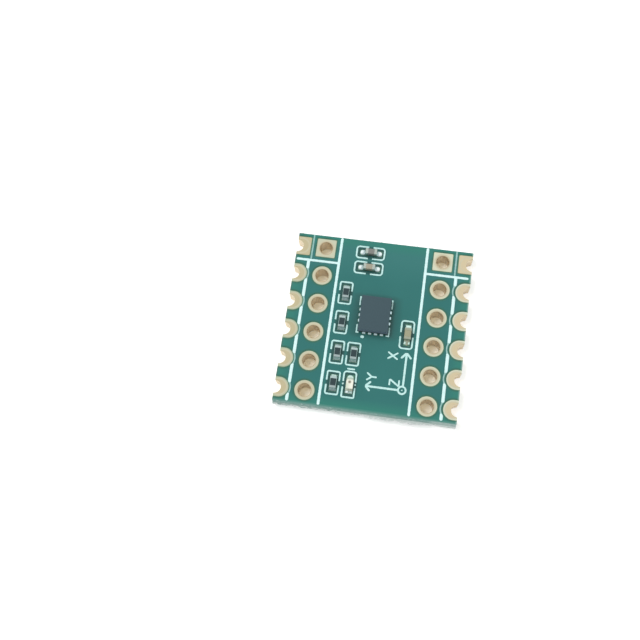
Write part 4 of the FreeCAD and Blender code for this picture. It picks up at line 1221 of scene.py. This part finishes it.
# %% [markdown]
# ## Solder and the pads under it
#
# Each chip stands on two copper pads, and each pad is wetted by solder right out to its rim. So a pad
# is a thin tinned plate with round corners, and the solder on it is a hill that covers the part the
# chip leaves free. Small amounts of solder draw up into a hollow curve. The capacitors' pads are
# longer than they need to be, and the rest of the solder stands on them as a bright drop: the upper
# half of a round block, pressed flat below. Smaller drops stand at the lamp's front end, behind the
# fifth resistor and in front of the third capacitor, and those and the joints beside them are minty
# or olive. A joint is given by the chip's end, the pad's end and start, its half width, its climb and
# the power of its hollow, its bulge, the power of its plan and the pad's outer corners.

# %% Solder joints
SPILL = 0.008
lamp_half = (ends_high[0] - ends_low[0]) / 2
RESISTOR_BACK = (0.5, 0.67, 0.28, 0.30, 0.22, 2.0, 0.0, 8, 0.08)
RESISTOR_FRONT = (0.5, 0.69, 0.28, 0.30, 0.22, 1.3, 0.0, 5, 0.05)
CAPACITOR_END = (0.5, 0.94, 0.30, 0.235, 0.22, 4.0, 0.02, 5, 0.18)
THIRD_BACK = (0.5, 0.91, 0.30, 0.27, 0.17, 0.8, 0.05, 8, 0.08)
THIRD_FRONT = (0.5, 0.90, 0.30, 0.25, 0.12, 4.0, 0.02, 5, 0.18)
LAMP_BACK = (0.55, 0.82, 0.30, lamp_half - 0.02, 0.14, 1.0, 0.04, 2, 0.27)
LAMP_FRONT = (0.57, 0.775, 0.30, lamp_half, 0.08, 3.0, 0.0, 14, 0.05)
pads = []


def wet_end(place, end, joint):
    """Lay the pad at a chip's end, 0 at the back or right and 1 at the other, and give its solder."""
    chip_end, pad_end, pad_start, half, climb, hollow, bulge, blunt, corner = joint
    middle, degrees = place
    pad_low = (pad_start, -half, CORE_TOP)
    pad = rounded_block(pad_low, (pad_end, half, PAD_TOP), 0.012, 5, (corner, 0.05, 0.05, corner))
    reach = pad_end + SPILL - chip_end
    inward = chip_end - pad_start
    fillet = solder_hill(chip_end, reach, half + SPILL, climb, hollow, bulge, inward, blunt)
    pads.append(placed(pad, middle, degrees + 180 * end))
    return placed(fillet, middle, degrees + 180 * end)


def lay_drop(place, end, near, far, half, height, sideways=0.0):
    """A drop on the pad at a chip's end, between two distances from the chip's middle."""
    middle, degrees = place
    low = (near, sideways - half, PAD_TOP - height)
    high = (far, sideways + half, PAD_TOP + height)
    corner = 0.9 * min(half, (far - near) / 2)
    points, quads, caps = rounded_block(low, high, min(0.92 * height, corner), 6, corner)
    points[:, 2] = np.maximum(points[:, 2], PAD_TOP - 0.01)
    return placed((points, quads, caps), middle, degrees + 180 * end)


dull_joints = []
for place in resistor_places:
    dull_joints += [wet_end(place, 0, RESISTOR_BACK), wet_end(place, 1, RESISTOR_FRONT)]
bright_drops = []
for place in capacitor_places[:2]:
    for end in (0, 1):
        dull_joints.append(wet_end(place, end, CAPACITOR_END))
        bright_drops.append(lay_drop(place, end, 0.61, 0.94, 0.185, 0.13))
bright_drops.append(lay_drop(lamp_place, 1, 0.56, 0.77, 0.105, 0.13, -0.14))
third_place = capacitor_places[2]
mint_joints = [
    wet_end(lamp_place, 0, LAMP_BACK),
    lay_drop(lamp_place, 1, 0.57, 0.75, 0.085, 0.13, 0.14),
    lay_drop(resistor_places[4], 0, 0.50, 0.67, 0.22, 0.22),
    wet_end(third_place, 0, THIRD_BACK),
    lay_drop(third_place, 1, 0.56, 0.90, 0.10, 0.14, -0.165),
    lay_drop(third_place, 1, 0.58, 0.87, 0.08, 0.12, 0.18),
]
dull_joints.append(wet_end(lamp_place, 1, LAMP_FRONT))
olive_joint = wet_end(third_place, 1, THIRD_FRONT)
make_piece("dull_solder", dull_joints, dull_solder, ["component_solder"])
make_piece("mint_solder", mint_joints, solder, ["component_solder"])
make_piece("olive_solder", [olive_joint], olive_tin, ["component_solder"])
make_piece("solder_drops", bright_drops, drop_solder, ["component_solder"])
print("solder:", len(dull_joints), "dull,", len(mint_joints), "minty,", len(bright_drops), "bright drops")

# %% [markdown]
# ## Sensor
#
# The sensor's lands lie under its edge, four at the front and back and three on each side. What shows
# of them is a thin lip of solder. The lands are drawn once and set round the package by their pitch.
# The package itself is a plain block with slightly round edges.

# %% Lands and package
LAND_HALF = 0.13
LAND_OVERHANG = 0.12
LAND_LENGTH = 0.50
LAND_PITCH = 0.5
land_joint = solder_hill(0.0, LAND_OVERHANG + SPILL, LAND_HALF + SPILL, 0.08, 1.4, 0.0, 0.06, 14)
land_low = (-LAND_LENGTH, -LAND_HALF, CORE_TOP)
land_high = (LAND_OVERHANG, LAND_HALF, PAD_TOP)
land_pad = rounded_block(land_low, land_high, 0.012, 3, 0.04)
half_x, half_y = ((sensor_high - sensor_low) / 2)[:2]
land_places = []
for b in (-1, 1):
    land_places += [(sensor_middle + ((k - 1.5) * LAND_PITCH, b * half_y), b * 90) for k in range(4)]
for a in (-1, 1):
    land_places += [(sensor_middle + (a * half_x, (k - 1) * LAND_PITCH), 90 - a * 90) for k in range(3)]
land_joints = [placed(land_joint, middle, degrees) for middle, degrees in land_places]
pads += [placed(land_pad, middle, degrees) for middle, degrees in land_places]
make_piece("land_solder", land_joints, land_tin, ["sensor_solder"])
make_piece("tinned_pads", pads, dull_solder, ["component_pads"])
cover = rounded_block(sensor_low, sensor_high, 0.03, 4)
make_piece("sensor_cover", [cover], moulding, ["sensor_moulding"])
print("pads:", len(pads), "of which lands:", len(land_places))

# %% [markdown]
# ## The torn edge
#
# The board was scored on both faces along its front and back edges and then snapped out of its
# panel. The middle of the sheet tears: the resin crumbles, and tufts of broken glass cloth stand out
# of it, pale and fluffy. The torn face is a depth for each place along the board and each height. It
# is the sum of the CAD rib's own slow curve, a few dozen waves that run in random directions and get
# shorter and lower, and some round tufts. A tanh bends the sum smoothly under a farthest depth. At
# the front it fades to a low even rib near the right end. Random numbers come from one seed, so each
# run is the same.

# %% Torn laminate material
torn, tree, shader, mm = new_material("torn glass fibre and resin", Roughness=0.85, IOR=1.5)
crumbs = add(tree, "TexNoise", {"Vector": mm, "Scale": 1 / 0.16, "Detail": 5.0, "Roughness": 0.7})
pit_shade = add(tree, "TexNoise", {"Vector": mm, "Scale": 1 / 0.30, "Detail": 4.0, "Roughness": 0.7})
tint = layered(
    tree,
    "#CDD8D5",
    ("#FAFCFB", crumbs, 0.35, 0.62),
    # Painted shade: the rib is darker near its top, in the crease under the scored slope.
    ("#C2CECA", add(tree, "SeparateXYZ", [mm], "Z"), 0.98, 1.10),
    # Painted shade: dark patches stand for the shade in the torn face's pits.
    ("#7F8F8A", pit_shade, 0.41, 0.33, 0.0, 0.45),
)
wire(tree, shader, tint, add(tree, "Bump", {"Height": crumbs, "Distance": 0.02 * MM, "Strength": 0.9}))

# %% Torn ribs
END_Y = 7.62
SCORE_DEPTH = 0.485
WEB_LOW = CORE_BOTTOM + SCORE_DEPTH
WEB_HIGH = CORE_TOP - SCORE_DEPTH
WAVES = 44
TUFTS = 70
MEAN_REACH = 0.045
BULGE = 0.17
BULGE_X = 3.1
FADE_X = 5.6
FADE_SHARE = 0.7
END_RIB_X = 6.1
END_RIB = 0.08
FARTHEST = {-1: 0.32, 1: 0.17}
rng = np.random.default_rng(7)


def rib_reach(x, side):
    """How far the snapped rib stands out: a mean with three sine waves, and a broad bulge at the front."""
    waves = np.sin(2.1 * x + side) + 0.8 * np.sin(5.3 * x + 2 * side) + 0.6 * np.sin(11.7 * x)
    bulge = BULGE * np.exp(-(((x - BULGE_X) / 2.5) ** 4)) if side < 0 else 0.0
    return MEAN_REACH * (1 + 0.38 * waves) + bulge


def lumps(x, z):
    """A rough face: size * sin(2 pi * way / length + phase), summed over waves in random directions.

    The waves are 0.8 to 0.1 mm long, and the longest is 0.007 mm high.
    """
    length = 0.8 / 1.05 ** np.arange(WAVES)
    size = 0.007 * (length / length[0]) ** 0.5
    course = rng.uniform(0, math.pi, WAVES)
    phase = rng.uniform(0, 2 * math.pi, WAVES)
    way = x[..., None] * np.cos(course) + z[..., None] * np.sin(course)
    return (size * np.sin(2 * math.pi * way / length + phase)).sum(axis=-1)


def tufts(x, z, side):
    """Round tufts of broken cloth: height * exp(-distance**2 / width**2), summed.

    At the front, half of them gather round the bulge.
    """
    middle_x = rng.uniform(-EDGE_X, EDGE_X, TUFTS)
    if side < 0:
        middle_x[::2] = rng.normal(2.0, 3.0, TUFTS // 2)
    middle_z = rng.uniform(WEB_LOW, WEB_HIGH, TUFTS)
    width = rng.uniform(0.08, 0.20, TUFTS)
    height = rng.uniform(0.02, 0.09, TUFTS)
    distance = np.hypot(x[..., None] - middle_x, z[..., None] - middle_z)
    return (height * np.exp(-((distance / width) ** 2))).sum(axis=-1)


def step_up(x, place):
    """A rise from 0 to 1 at a place: 1 / (1 + exp((place - x) / 0.15))."""
    return 1 / (1 + np.exp((place - x) / 0.15))


rib_x = np.linspace(-EDGE_X, EDGE_X, 900)
rib_t = np.linspace(-1, 1, 25)
rib_z = (WEB_LOW + WEB_HIGH) / 2 + (WEB_HIGH - WEB_LOW) / 2 * (1.08 * rib_t)
x, z = np.meshgrid(rib_x, rib_z, indexing="ij")
for side, name in ((-1, "torn_rib_front"), (1, "torn_rib_back")):
    depth = rib_reach(x, side) * (1 - 0.45 * abs(rib_t) ** 3) + lumps(x, z) + tufts(x, z, side)
    if side < 0:
        depth = depth * (1 - FADE_SHARE * step_up(x, FADE_X)) + END_RIB * step_up(x, END_RIB_X)
    depth = FARTHEST[side] * np.tanh(depth / FARTHEST[side])
    y = np.column_stack([END_Y + np.maximum(depth, 0.004), np.full((len(rib_x), 2), END_Y - 0.12)])
    loop_z = np.concatenate([rib_z, rib_z[[-1, 0]]])
    points = np.stack([rib_x[:, None] + 0 * y, side * y, loop_z + 0 * y], axis=-1).reshape(-1, 3)
    rows, columns = y.shape
    caps = [np.arange(columns), (rows - 1) * columns + np.arange(columns)[::-1]]
    make_piece(name, [(points, grid_quads(rows, columns, False, True), caps)], torn, sharp=70)
print("torn ribs done, deepest", round(float(depth.max()), 3))

# %% [markdown]
# Single broken fibres stand out of the torn face as thin slivers, each with its own length, lean and
# thickness. They are short, and they lean widely, so that the edge looks fluffy and not combed. A
# sliver is a narrow four-sided post that gets thinner towards its tip.

# %% Broken fibres
FIBRES = 420
THICK_FIBRES = 60
FIBRE_REACH = {-1: 0.30, 1: 0.16}
TIP_SHARE = 0.45
for side, name in ((-1, "broken_fibres_front"), (1, "broken_fibres_back")):
    x = rng.uniform(-EDGE_X + 0.1, EDGE_X - 0.1, FIBRES)
    if side < 0:
        x[::3] = np.clip(rng.normal(3.8, 1.5, FIBRES // 3), -7.5, 7.5)
    z = rng.uniform(WEB_LOW, WEB_HIGH, FIBRES)
    root = np.column_stack([x, side * (END_Y - 0.02 + 0 * x), z])
    length = rib_reach(x, side) + rng.uniform(0.0, 0.10, FIBRES)
    thick = rng.uniform(0.006, 0.014, FIBRES)
    thick[:THICK_FIBRES] = rng.uniform(0.015, 0.04, THICK_FIBRES)
    lean = rng.normal(0, 0.7, (FIBRES, 2))
    direction = np.column_stack([lean[:, 0], side * np.ones(FIBRES), lean[:, 1]])
    direction /= np.linalg.norm(direction, axis=1, keepdims=True)
    tip = root + direction * length[:, None]
    tip[:, 1] = side * np.minimum(side * tip[:, 1], END_Y + FIBRE_REACH[side])
    thick = thick[:, None, None]
    ring = np.array([(1, 0, 0), (0, 0, 1), (-1, 0, 0), (0, 0, -1)], float)
    foot = root[:, None, :] + ring * thick
    narrow_end = tip[:, None, :] + ring * thick * TIP_SHARE
    points = np.concatenate([foot, narrow_end], axis=1)
    base = np.array([(0, 1, 5, 4), (1, 2, 6, 5), (2, 3, 7, 6), (3, 0, 4, 7), (3, 2, 1, 0), (4, 5, 6, 7)])
    quads = (base[None] + 8 * np.arange(FIBRES)[:, None, None]).reshape(-1, 4)
    make_piece(name, [(points.reshape(-1, 3), quads, [])], torn)
print("fibres:", 2 * FIBRES)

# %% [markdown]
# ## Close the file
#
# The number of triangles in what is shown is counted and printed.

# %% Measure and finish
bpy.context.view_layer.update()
triangles = sum(len(p.vertices) - 2 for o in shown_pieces() for p in o.data.polygons)
print("triangles:", triangles)
